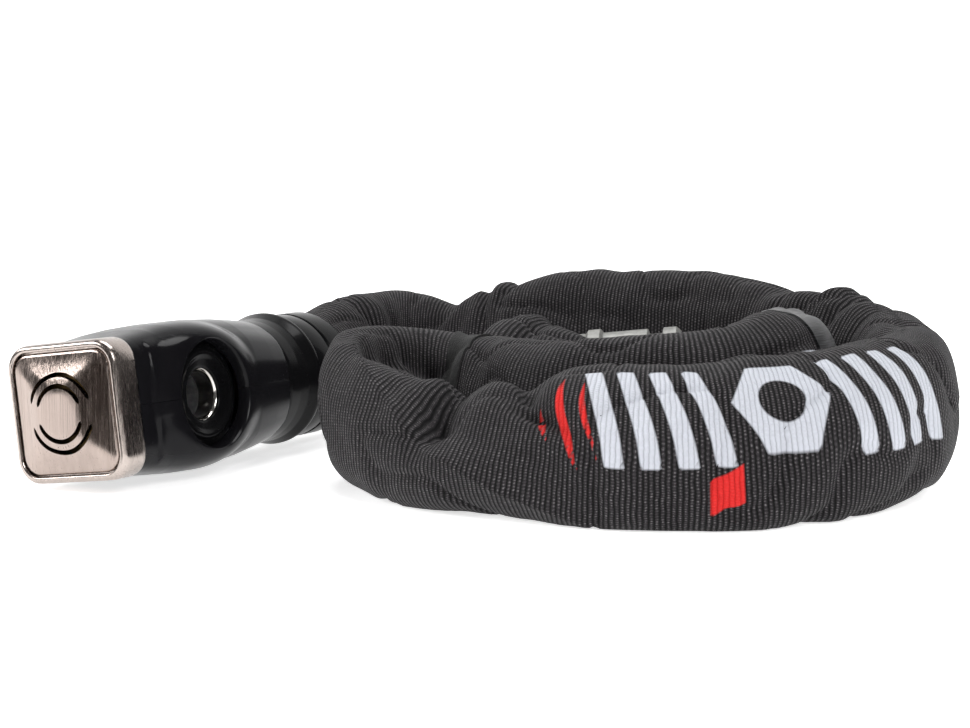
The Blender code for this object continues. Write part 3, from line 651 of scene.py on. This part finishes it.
def speaker_plate():
    """The crowned plate: four soft flanks that rise to a round middle, and the arc slots."""
    front, back = [], []
    for i in range(PLATE_STEPS):
        share = 1.0 - i / PLATE_STEPS * PLATE_REACH
        half = PLATE_HALF * share
        roundness = 1 - smoothstep(share, *PLATE_ROUND_FROM)
        corner = min(half * (PLATE_CORNER + (1 - PLATE_CORNER) * roundness), half * 0.999)
        crown = plate_crown(share)
        rim = RIM_DROP * smoothstep(share, RIM_START, 1.0) ** 1.5
        front.append(rounded_square(FACE_X + PLATE_SET_BACK - crown + rim, half, corner))
        if i % PLATE_BACK_STRIDE == 0:
            behind = FACE_X + PLATE_SET_BACK + PLATE_THICK - 0.9 * crown
            back.append(rounded_square(behind, half, corner))
    obj = loft("speaker_cover", back[::-1] + front, NICKEL, HEAD_FRAME, angle=50.0)
    for radius in SLOT_RADII:
        for middle in (math.pi / 2, -math.pi / 2):
            cut(obj, slot_tool(radius, middle))
    resharpen(obj, 50)
    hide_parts("speaker_plate")
    return obj


def plain_ring(name, node, profile, material, axis="x", centre=(0, 0, 0), soft=0.3):
    """A turned ring that replaces a CAD node, with rounded corners."""
    rings = turned_rings(rounded(profile, soft), 128, centre, axis)
    obj = ring_solid(name, rings, material, HEAD_FRAME, angle=50.0)
    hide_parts(node)
    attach(obj, "head")
    return obj


NECK_BORE_R = 18.8


def neck_rings():
    """The swelling behind the housing and the grooved collar that the chain leaves through."""
    band = (
        (-21.9, NECK_BORE_R), (-21.9, 20.3), (-20.0, 20.6), (-15.0, 20.6), (-11.0, 21.0), (-8.4, 21.9),
        (-6.8, 22.5), (-5.6, 22.5), (-4.7, 22.0), (-4.7, NECK_BORE_R),
    )
    plain_ring("neck_swell", "neck_band", band, PLASTIC_RING, soft=0.5)
    rim = (
        (-4.3, NECK_BORE_R), (-4.3, 21.0), (4.6, 21.3), (4.9, 20.7), (5.5, 20.7), (5.9, 21.4), (14.9, 21.5),
        (16.0, 21.1), (16.0, 19.9), (8.4, 19.6), (8.4, NECK_BORE_R),
    )
    plain_ring("collar", "end_collar", rim, PLASTIC_RING, soft=0.35)


def socket_details():
    """The ring in the recess and the polished liner of the bore."""
    centre = (BOLT_X, 0, 0)
    ring = (
        (-19.6, 8.0), (-20.0, 8.7), (-20.5, 11.0), (-21.2, 12.3), (-21.2, 13.3), (-20.4, 14.2),
        (-19.9, 15.9), (-19.1, 15.9), (-19.1, 8.0),
    )
    plain_ring("recess_ring", "socket_ring", ring, PLASTIC_RING, "y", centre, 0.35)
    liner = ((-18.2, 7.4), (-18.9, 8.0), (-18.9, 9.2), (-12.2, 9.2), (-12.2, 7.3), (-17.4, 7.3))
    plain_ring("bore_liner", "bolt_bushing", liner, CHROME, "y", centre, 0.25)


LATCH_Y = -4.0
SPRING_TURNS = 2.5
SPRING_WIRE = 0.35
SPRING_R = 2.1
SPRING_ENDS = (13.5, 17.8)
SPRING_STEPS = 80
WIRE_SIDES = 12


def spring_ring(share):
    """A ring of points round the spring's wire, at a share of the way up its coil."""
    low, high = SPRING_ENDS
    angle = 2 * math.pi * SPRING_TURNS * share
    out = Vector((math.cos(angle), math.sin(angle), 0.0))
    middle = Vector((BOLT_X, LATCH_Y, low + (high - low) * share)) + out * SPRING_R
    ring = []
    for k in range(WIRE_SIDES):
        turn = 2 * math.pi * k / WIRE_SIDES
        ring.append(tuple(middle + SPRING_WIRE * (out * math.cos(turn) + Vector((0, 0, math.sin(turn))))))
    return ring


def latch_spring():
    """The latch's coil spring, made as one fixed coil; the real spring shortens against its cover as the
    latch lifts.
    """
    rings = [spring_ring(i / SPRING_STEPS) for i in range(SPRING_STEPS + 1)]
    coil = loft("coil_spring", rings, STEEL, HEAD_FRAME, angle=50.0)
    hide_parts("latch_spring")
    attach(coil, "head")
    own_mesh(coil)


def build_head():
    """Every piece of the lock head that is finer than its CAD node."""
    for name, node, side in (("housing_top", "upper_shell", 1), ("housing_base", "lower_shell", -1)):
        half = shell_half(name, side)
        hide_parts(node)
        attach(half, "head")
    for obj in (front_bezel(), speaker_plate()):
        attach(obj, "head")
    neck_rings()
    socket_details()
    latch_spring()


# ---------------------------------------------------------------- sleeve

# Sections of the sleeve: distance along the chain, lowest and highest z, half the thickness, how far
# the top leans to the right of travel, and how square the section is.
SECTIONS = (
    (0, 4.8, 43.0, 19.1, 0.0, 2.0),
    (17, 4.6, 42.8, 19.0, 0.0, 2.0),
    (26, 3.4, 45.5, 19.2, 0.0, 2.1),
    (36, 1.4, 49.2, 18.2, 0.0, 2.3),
    (46, 0.5, 49.6, 17.0, 0.0, 2.4),
    (60, 0.5, 51.4, 16.2, 0.0, 2.4),
    (71, 0.5, 49.6, 15.0, 0.0, 2.4),
    (80, 0.5, 46.6, 14.0, 0.0, 2.4),
    (88, 0.5, 50.4, 14.4, 0.0, 2.4),
    (97, 0.5, 53.6, 14.8, 0.0, 2.4),
    (104, 0.5, 53.8, 14.8, 0.0, 2.4),
    (113, 0.5, 55.8, 14.6, 0.0, 2.5),
    (124, 0.5, 59.4, 14.6, 0.0, 2.6),
    (150, 0.5, 60.0, 14.6, 0.0, 2.6),
    (184, 0.5, 59.6, 14.8, 0.0, 2.6),
    (205, 0.5, 57.4, 15.0, 0.0, 2.6),
    (222, 0.5, 54.4, 15.4, 0.0, 2.5),
    (236, 0.5, 55.6, 15.6, 0.0, 2.4),
    (253, 0.5, 51.4, 15.4, 0.0, 2.3),
    (283, 0.5, 48.4, 15.4, 0.0, 2.3),
    (313, 0.5, 47.4, 15.6, 1.5, 2.4),
    (347, 0.3, 44.8, 16.0, 4.5, 2.5),
    (380, 0.3, 41.8, 16.4, 6.0, 2.5),
    (400, 0.3, 41.6, 16.4, 6.0, 2.5),
    (413, 0.3, 41.2, 16.2, 5.0, 2.3),
    (421, 0.4, 37.6, 16.0, 4.0, 2.2),
    (429, 0.4, 35.2, 16.0, 3.5, 2.0),
    (438, 0.4, 35.2, 16.4, 4.5, 1.85),
    (447, 0.4, 31.0, 16.0, 5.0, 1.8),
    (456, 0.4, 34.6, 15.2, 5.0, 1.8),
    (468, 0.4, 37.4, 13.8, 4.5, 1.9),
    (481, 0.4, 42.4, 13.2, 1.5, 2.1),
    (495, 0.4, 48.6, 13.8, -2.0, 2.3),
    (510, 0.4, 48.6, 15.4, -4.0, 2.3),
    (526, 0.4, 45.4, 16.8, -4.0, 2.2),
    (541, 0.5, 44.6, 16.0, 0.0, 2.3),
    (560, 0.5, 44.4, 15.6, 0.0, 2.4),
    (578, 0.5, 45.2, 15.2, 0.0, 2.4),
    (599, 0.5, 47.0, 14.8, 0.0, 2.4),
    (623, 0.5, 49.2, 15.2, 0.0, 2.4),
    (645, 0.5, 53.0, 15.8, 0.0, 2.3),
    (668, 0.5, 54.2, 16.2, 0.0, 2.2),
    (689, 0.5, 46.0, 16.4, 0.0, 2.3),
    (708, 0.5, 36.4, 16.2, 0.0, 2.3),
    (730, 1.4, 36.6, 16.0, 0.0, 2.3),
    (747, 5.0, 41.0, 15.4, 0.0, 2.3),
    (761, 9.5, 46.0, 15.2, 0.0, 2.2),
    (774, 13.0, 46.4, 15.2, 0.0, 2.2),
    (783, 15.5, 45.2, 14.6, 0.0, 2.1),
    (790, 17.5, 43.4, 12.8, 0.0, 2.0),
)

# Dents (negative) and swellings of the cloth: distance along, angle round the section in degrees
# (0 right of travel, 90 top, 180 left), reach along, reach round, slant per 90 degrees, and height.
DENTS = (
    (40, 60, 3.0, 60, -6.0, -3.2),
    (47, 60, 6.0, 60, -4.0, 1.4),
    (82, 70, 5.0, 70, 8.0, -2.2),
    (99, 60, 2.6, 60, -5.0, -3.6),
    (106, 70, 5.0, 60, -5.0, 1.3),
    (88, 20, 4.0, 40, 9.0, -1.6),
    (205, 70, 5.0, 50, 14.0, -1.8),
    (108, 75, 2.6, 50, 4.0, -2.6),
    (222, 60, 4.0, 60, 16.0, -3.4),
    (231, 70, 4.0, 50, 10.0, 1.8),
    (240, 60, 2.6, 50, 8.0, -2.6),
    (248, 60, 3.0, 55, 6.0, 1.6),
    (256, 50, 2.6, 60, 4.0, -2.4),
    (262, 100, 4.0, 30, 4.0, 1.2),
    (392, 150, 5.0, 30, 10.0, -1.4),
    (421, 112, 3.6, 42, -10.0, -5.5),
    (415, 152, 3.6, 30, -33.0, -3.8),
    (407, 148, 5.0, 26, -30.0, 1.6),
    (370, 236, 45.0, 30, 0.0, 2.8),
    (385, 215, 4.0, 25, -14.0, -1.8),
    (378, 130, 4.0, 30, 20.0, -1.1),
    (345, 215, 5.0, 25, 10.0, -1.5),
    (318, 200, 4.0, 30, 12.0, -1.8),
    (301, 150, 4.0, 34, -14.0, -1.6),
    (434, 112, 5.0, 34, 0.0, 1.4),
    (455, 100, 6.0, 36, 0.0, 4.0),
    (483, 84, 5.0, 24, 0.0, -6.5),
    (463, 118, 6.0, 26, 0.0, 3.0),
    (448, 138, 3.2, 30, 0.0, -3.8),
    (448, 112, 2.8, 36, 0.0, -6.5),
    (445, 145, 4.0, 26, 10.0, -1.8),
    (470, 110, 8.0, 34, 0.0, 3.0),
    (462, 135, 3.0, 26, 6.0, -1.2),
    (494, 70, 6.5, 28, 0.0, -11.0),
    (508, 50, 10.0, 36, 0.0, -10.0),
    (526, 45, 9.0, 38, 0.0, -11.0),
    (536, 30, 4.0, 50, 0.0, -4.0),
    (553, 70, 5.0, 40, 6.0, -1.4),
    (632, 60, 5.0, 50, 8.0, -1.4),
    (668, 60, 5.0, 40, 8.0, -2.0),
    (762, 120, 3.0, 50, 0.0, -3.4),
    (770, 100, 5.0, 50, 0.0, 1.5),
    (779, 110, 3.0, 50, 0.0, -3.0),
)

# The fold that runs from the top of the left turn down to the floor side of the front strand.
FOLD_LINE = (
    (388, 262), (397, 250), (405, 232), (415, 220), (423, 209), (435, 191), (445, 175), (458, 146),
    (472, 128), (490, 100), (500, 86),
)
# The fold's edge stands out by FOLD_HEIGHT and the cloth above it is set back by FOLD_STEP. Its width and
# the reach of the step are in degrees round the section, and it fades in and out along the chain.
FOLD_HEIGHT = 1.5
FOLD_STEP = 3.2
FOLD_WIDTH = 7
FOLD_STARTS, FOLD_FADE_IN = 392, 24
FOLD_ENDS, FOLD_FADE_OUT = 506, 16
STEP_REACH, STEP_FADE = 100, 50
STEP_RISE = 30

# Gathers on the inner side of a bend: full height where the bend is tighter than 1 / CROWD_GAIN radians
# a millimetre, measured over BEND_REACH on both sides.
BEND_REACH = 8.0
CROWD_GAIN = 30
CROWD_HEIGHT = 0.9
GATHER_RATE = 0.62
SWAY_ROUND, SWAY_ANGLE = 2.4, 33
SWAY_ALONG, SWAY_RATE = 1.9, 0.083

# The cloth's noise fields: rate along the chain, spread round the section, and an offset that keeps them
# apart. The vein field also turns as it goes along, and its creases run where it crosses zero.
BROAD_FIELD = (0.032, 0.9, 0)
FINE_FIELD = (0.1, 1.5, 40)
VEIN_FIELD = (0.045, 0.8, 90)
VEIN_TURN = 0.006
BROAD_WAVE = 1.6
FINE_WAVE = 0.8
CREASE_SHARPNESS = 7.0
CREASE_DEPTH = 1.3

FLAT_WIDTH = 118.0
CLOTH = 0.8
SLEEVE_SPAN = (25.0, 789.0)
NECK_SPAN = (9.0, 41.0)
NECK_LIFT = 0.25
BAND_LIFT = 0.7
BAND_THICK = 1.2
RING_STEP = 1.1
INNER_STRIDE = 3
SIDES = 104
ANGLES = 90 + 360 * np.arange(SIDES) / SIDES
LINK_COUNT = 29
# From the middle of a flat link to the place where it meets the next one.
FLAT_PIVOT = 10.05
LINE_STEP = 0.5
EASE_WINDOW = 13
FLOOR_GAP = 0.3


def link_pivots():
    """Where the links meet, from the pin in the head to the bolt: the two ends of each flat link."""
    places = [HEAD_PIN / MM]
    for number in range(1, LINK_COUNT + 1, 2):
        mesh = frame["nodes"][f"chain_link_{number:02d}"].data
        points = np.array([v.co for v in mesh.vertices]) / MM
        middle = points.mean(axis=0)
        _, axes = np.linalg.eigh((points - middle).T @ (points - middle))
        along = axes[:, -1]
        if along @ (middle - np.array(places[-1])) < 0:
            along = -along
        if number > 1:
            places.append(middle - along * FLAT_PIVOT)
        places.append(middle + along * FLAT_PIVOT)
    return np.array([tuple(place)[:2] for place in places])


def smooth_line(points):
    """A natural cubic spline through points in plan, as points LINE_STEP apart along its chords."""
    knots = np.concatenate(([0.0], np.cumsum(np.linalg.norm(np.diff(points, axis=0), axis=1))))
    count = len(points)
    gaps = np.diff(knots)
    matrix = np.eye(count)
    right = np.zeros_like(points)
    slopes = np.diff(points, axis=0) / gaps[:, None]
    for i in range(1, count - 1):
        matrix[i, i - 1 : i + 2] = gaps[i - 1], 2 * (gaps[i - 1] + gaps[i]), gaps[i]
        right[i] = 6 * (slopes[i] - slopes[i - 1])
    bends = np.linalg.solve(matrix, right)
    samples = np.arange(0.0, knots[-1], LINE_STEP)
    i = np.clip(np.searchsorted(knots, samples, side="right") - 1, 0, count - 2)
    width = gaps[i][:, None]
    a = (knots[i + 1] - samples)[:, None] / width
    b = 1 - a
    bow = ((a**3 - a) * bends[i] + (b**3 - b) * bends[i + 1]) * width**2 / 6
    return a * points[i] + b * points[i + 1] + bow


LINE = smooth_line(link_pivots())
LINE_AT = np.concatenate(([0.0], np.cumsum(np.linalg.norm(np.diff(LINE, axis=0), axis=1))))


def line_at(places):
    """Plan points of the chain's line at distances along it."""
    return np.stack([np.interp(places, LINE_AT, LINE[:, k]) for k in (0, 1)], axis=1)


def headings(places, reach=3.0):
    """Unit vectors in plan along the chain's line at distances along it."""
    step = line_at(places + reach) - line_at(places - reach)
    return step / np.linalg.norm(step, axis=1)[:, None]


def sections(places):
    """The section's numbers at distances along the chain, eased between rows."""
    table = np.array(SECTIONS)
    fine = np.arange(table[0, 0], table[-1, 0], 1.0)
    kernel = np.hanning(EASE_WINDOW)
    kernel /= kernel.sum()
    columns = []
    for column in table.T[1:]:
        padded = np.pad(np.interp(fine, table[:, 0], column), EASE_WINDOW // 2, mode="edge")
        columns.append(np.interp(places, fine, np.convolve(padded, kernel, mode="valid")))
    return columns


def turn_gap(a, b):
    """The shortest way from angle b to angle a, in degrees."""
    return (a - b + 180) % 360 - 180


def relief(places, angles):
    """How far the cloth stands in or out, for each distance and each angle in degrees."""
    d, a = np.meshgrid(places, angles, indexing="ij")
    out = np.zeros_like(d)
    for middle, angle, along, around, slant, height in DENTS:
        gap = turn_gap(a, angle)
        out += height * np.exp(-(((d - middle - slant * gap / 90) / along) ** 2) - (gap / around) ** 2)
    out += fold_relief(d, a)
    out += crowded_relief(places, d, a)
    return out + cloth_noise(d, np.radians(a))


def fold_relief(d, a):
    """The long fold: a sharp edge along FOLD_LINE, and the cloth above it set back."""
    fold = np.array(FOLD_LINE)
    line = np.interp(d, fold[:, 0], fold[:, 1])
    share = np.clip((d - FOLD_STARTS) / FOLD_FADE_IN, 0, 1) * np.clip((FOLD_ENDS - d) / FOLD_FADE_OUT, 0, 1)
    above = turn_gap(line, a)
    inward = np.clip(above / STEP_RISE, 0, 1) * np.clip((STEP_REACH - above) / STEP_FADE, 0, 1)
    return share * (FOLD_HEIGHT * np.exp(-np.abs(above) / FOLD_WIDTH) - FOLD_STEP * inward)


def crowded_relief(places, d, a):
    """Wavy gathers on the inner side of the bends, where the cloth is crowded."""
    bend = np.gradient(np.unwrap(np.arctan2(*headings(places, BEND_REACH).T[::-1])), places)
    inner = np.clip(np.cos(np.radians(a)) * np.sign(-bend)[:, None], 0, 1)
    crowd = np.clip(np.abs(bend) * CROWD_GAIN, 0, 1)[:, None] * inner
    sway = SWAY_ROUND * np.sin(a / SWAY_ANGLE) + SWAY_ALONG * np.sin(d * SWAY_RATE)
    return crowd * np.sin(d * GATHER_RATE + sway) * CROWD_HEIGHT


def field_at(along, angle, field, turn=0.0):
    """One of the cloth's noise fields, at a distance along the chain and an angle in radians."""
    rate, spread, offset = field
    across, up = math.cos(angle) * spread, math.sin(angle) * spread
    return noise.noise(Vector((along * rate + offset, across + along * turn, up)))


def cloth_noise(d, a):
    """Small uneven waves and fine creases of the cloth."""
    made = np.zeros_like(d)
    for place in np.ndindex(d.shape):
        broad = field_at(d[place], a[place], BROAD_FIELD)
        fine = field_at(d[place], a[place], FINE_FIELD)
        vein = field_at(d[place], a[place], VEIN_FIELD, VEIN_TURN)
        crease = max(1.0 - abs(vein) * CREASE_SHARPNESS, 0.0)
        made[place] = broad * BROAD_WAVE + fine * FINE_WAVE - CREASE_DEPTH * crease * crease
    return made


def tube_points(places, out):
    """Points of the sleeve's skin for distances along the chain, moved out by a grid of heights."""
    low, high, half, lean, power = (column[:, None] for column in sections(places))
    angle = np.radians(ANGLES)[None, :]
    c, s = np.cos(angle), np.sin(angle)
    half_up = (high - low) / 2
    across = np.sign(c) * np.abs(c) ** (2 / power) * (half + out)
    up = np.sign(s) * np.abs(s) ** (2 / power) * (half_up + out)
    across = across + lean * up / half_up
    middle, ahead = line_at(places), headings(places)
    x = middle[:, :1] + ahead[:, 1:] * across
    y = middle[:, 1:] - ahead[:, :1] * across
    z = np.maximum((low + high) / 2 + up, FLOOR_GAP)
    return np.stack([x, y, z], axis=2)


def cloth_tube(name, span, material, lift=0.0, thick=CLOTH):
    """A tube of cloth round the chain, from one distance to another, with a sparser inner layer."""
    count = INNER_STRIDE * max(int((span[1] - span[0]) / RING_STEP / INNER_STRIDE), 1) + 1
    places = np.linspace(*span, count)
    out = relief(places, ANGLES) + lift
    inner = slice(None, None, -INNER_STRIDE)
    rings = np.concatenate((tube_points(places, out), tube_points(places, out - thick)[inner]))
    obj = ring_solid(name, rings, material, angle=60.0)
    along = np.repeat(np.concatenate((places, places[inner])), SIDES)
    around = np.tile(np.arange(SIDES) * FLAT_WIDTH / SIDES, len(rings))
    outside = np.arange(len(along)) < count * SIDES
    add_attribute(obj.data, "along", along)
    add_attribute(obj.data, "around", around)
    for attribute, shapes in (("white_print", WHITE_SHAPES), ("red_print", RED_SHAPES)):
        add_attribute(obj.data, attribute, np.where(outside, print_field(along, around, shapes), UNPRINTED))
    return obj


def add_attribute(mesh, name, values):
    """Stores one value for each point of the mesh."""
    layer = mesh.attributes.new(name, "FLOAT", "POINT")
    layer.data.foreach_set("value", np.asarray(values, dtype=np.float32))


def sleeve():
    """The long woven sleeve, the short length that goes into the head's collar, and the sewn bands."""
    long = cloth_tube("sleeve", SLEEVE_SPAN, SLEEVE)
    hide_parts("woven_sleeve")
    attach(long, "chain")
    neck = cloth_tube("sleeve_neck", NECK_SPAN, SLEEVE, NECK_LIFT)
    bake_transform(neck)
    for name, span, material in BANDS:
        band = cloth_tube(name, span, material, BAND_LIFT, BAND_THICK)
        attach(band, "chain")


# ---------------------------------------------------------------- print on the sleeve

BANDS = (
    ("loop_band", (532.5, 544.5), FUZZY),
    ("satin_band", (650.0, 666.0), SATIN),
)

# A plain pattern on the cloth: slanted bars on both sides of a hexagonal nut, and red strokes. Each
# shape is its kind, distance along the chain, distance round the cloth, length, height and slant.
MARK = 357.0
MARK_DOWN = 19.5
BAR_GAP = 8.4
NUT_GAP = 18.0
NUT_HOLE = 0.27
BAR = (4.6, 25.0, -0.3)
UNPRINTED = -9.0
WHITE_SHAPES = (
    *(("bar", MARK - NUT_GAP - BAR_GAP * i, MARK_DOWN, *BAR) for i in range(4)),
    ("nut", MARK, MARK_DOWN, 21.5, 21.5, -0.12),
    *(("bar", MARK + NUT_GAP + BAR_GAP * i, MARK_DOWN, *BAR) for i in range(4)),
    ("bar", 634.0, 93.5, 6.0, 10.0, 0.15),
    ("bar", 645.0, 95.0, 8.0, 10.0, 0.15),
)
RED_SHAPES = (
    ("tag", 371.5, 37.5, 7.5, 8.5, 0.45),
    ("stroke", 404.5, 22.0, 1.5, 19.0, -0.25),
    ("stroke", 410.5, 22.0, 2.6, 24.0, -0.25),
    ("stroke", 416.5, 21.0, 1.5, 14.0, -0.25),
    ("bar", 600.0, 93.0, 1.2, 8.0, 0.2),
    ("bar", 610.0, 93.0, 1.0, 6.0, 0.2),
)
STROKE_BOW = 0.018


def print_field(along, around, shapes):
    """Millimetres inside the nearest printed shape, negative outside, for each point of the cloth."""
    best = np.full(len(along), UNPRINTED)
    for kind, middle, down, length, height, slant in shapes:
        y = around - down
        x = along - middle - slant * y
        if kind == "tag":
            x = along - middle
            y = y - slant * x
        if kind == "stroke":
            x = x + STROKE_BOW * y * y
            length = length * np.clip(1.0 - (2 * y / height) ** 2, 0.0, 1.0)
        inside = np.minimum(length / 2 - np.abs(x), height / 2 - np.abs(y))
        if kind == "nut":
            flats = np.maximum(np.abs(y) * 0.5 + np.abs(x) * 0.866, np.abs(y))
            inside = np.minimum(height / 2 - flats, np.hypot(x, y) - NUT_HOLE * height)
        best = np.maximum(best, inside)
    return best


# ---------------------------------------------------------------- locking bolt


def locking_bolt():
    """Paints the bolt and its pin."""
    for name in ("locking_bolt", "bolt_cross_pin"):
        node = frame["nodes"][name]
        node.data.materials.clear()
        node.data.materials.append(BOLT_STEEL)
        resharpen(node, 35)


# ---------------------------------------------------------------- studio

# Places and sizes in metres.
CARD_PLACE = (-0.285, -0.262, 0.0015)
CARD_SIZE = (0.2, 0.3)
CARD_FOOT = (-0.136, -0.098, 0.0015)
CARD_FOOT_WIDTH = 0.05
PAPER_GLOW = 0.7
SKY = 0.12
FLOOR_FRONT, FLOOR_BEND = -3.0, 1.6
BACKDROP_CURVE = 0.9
BACKDROP_TOP = 4.0
BACKDROP_HALF_WIDTH = 4.0
CURVE_STEPS = 12
LAMPS = (
    ("key", (-1.1, -0.15, 0.58), (0, 0, 0), (0.8, 0.35), 10.0),
    ("fill", (0.7, -0.95, 0.85), (0.03, 0, 0), (0.5, 0.6), 10.0),
    ("top", (0.05, 0.2, 1.3), (0, 0, 0), (1.0, 0.7), 14.0),
)


def stage_floor():
    """A pale floor that curves up into a backdrop far behind."""
    profile = [(FLOOR_FRONT, 0.0), (FLOOR_BEND, 0.0)]
    for step in range(1, CURVE_STEPS + 1):
        angle = math.pi / 2 * step / CURVE_STEPS
        back, up = math.sin(angle), 1 - math.cos(angle)
        profile.append((FLOOR_BEND + BACKDROP_CURVE * back, BACKDROP_CURVE * up))
    profile.append((FLOOR_BEND + BACKDROP_CURVE, BACKDROP_TOP))
    sides = (-BACKDROP_HALF_WIDTH, BACKDROP_HALF_WIDTH)
    vertices = [(x / MM, y / MM, z / MM) for x in sides for y, z in profile]
    count = len(profile)
    faces = [(i, i + 1, count + i + 1, count + i) for i in range(count - 1)]
    paint = Paint("backdrop_paper", (0.9, 0.9, 0.9), 0.9)
    tooth = paint.noise((300, 300, 300), 2.0)
    paint.to("Base Color", paint.mix(tooth, (0.9, 0.9, 0.9), (0.93, 0.93, 0.93)))
    paint.to("Normal", paint.bump(tooth, 0.00003, 0.3))
    paint.shader.inputs["Emission Color"].default_value = (1.0, 1.0, 1.0, 1.0)
    paint.shader.inputs["Emission Strength"].default_value = PAPER_GLOW
    obj = make("backdrop", vertices, faces, paint.material)


def area_light(name, place, aim, size, power):
    """A soft rectangular light at a place, turned to the point that it aims at."""
    data = bpy.data.lights.new(name, "AREA")
    data.shape = "RECTANGLE"
    data.size, data.size_y = size
    data.energy = power
    lamp = bpy.data.objects.new(name, data)
    lamp.location = place
    direction = Vector(aim) - Vector(place)
    lamp.rotation_euler = direction.to_track_quat("-Z", "Y").to_euler()
    bpy.context.scene.collection.objects.link(lamp)


def dark_card():
    """A dark card, bent at the floor, that darkens what the plate reflects. The camera doesn't see it."""
    middle = Vector(CARD_PLACE)
    side = Vector((-middle.y, middle.x, 0.0)).normalized()
    wide = side * CARD_SIZE[0] / 2
    narrow = side * CARD_FOOT_WIDTH / 2
    foot = Vector(CARD_FOOT)
    up = Vector((0.0, 0.0, CARD_SIZE[1]))
    corners = [middle - wide, middle + wide, middle + wide + up, middle - wide + up]
    corners += [foot - narrow, foot + narrow]
    paint = Paint("card_black", (0.02, 0.014, 0.012), 0.9)
    tooth = paint.noise((200, 200, 200), 2.0)
    paint.to("Base Color", paint.mix(tooth, (0.015, 0.01, 0.008), (0.03, 0.022, 0.018)))
    faces = [(0, 1, 2, 3), (4, 5, 1, 0)]
    card = make("flag_card", [tuple(c / MM) for c in corners], faces, paint.material)
    card.visible_camera = False
    card.visible_shadow = False
    card.visible_diffuse = False


def studio():
    """The floor, the card, the dim sky and the lamps."""
    stage_floor()
    dark_card()
    world = bpy.data.worlds.new("studio")
    world.use_nodes = True
    background = world.node_tree.nodes["Background"]
    background.inputs["Color"].default_value = (1.0, 1.0, 1.0, 1.0)
    background.inputs["Strength"].default_value = SKY
    bpy.context.scene.world = world
    for lamp in LAMPS:
        area_light(*lamp)
    bpy.context.scene.view_settings.view_transform = "Standard"


# ---------------------------------------------------------------- all of it

paint_cad_nodes()
build_head()
sleeve()
locking_bolt()
studio()
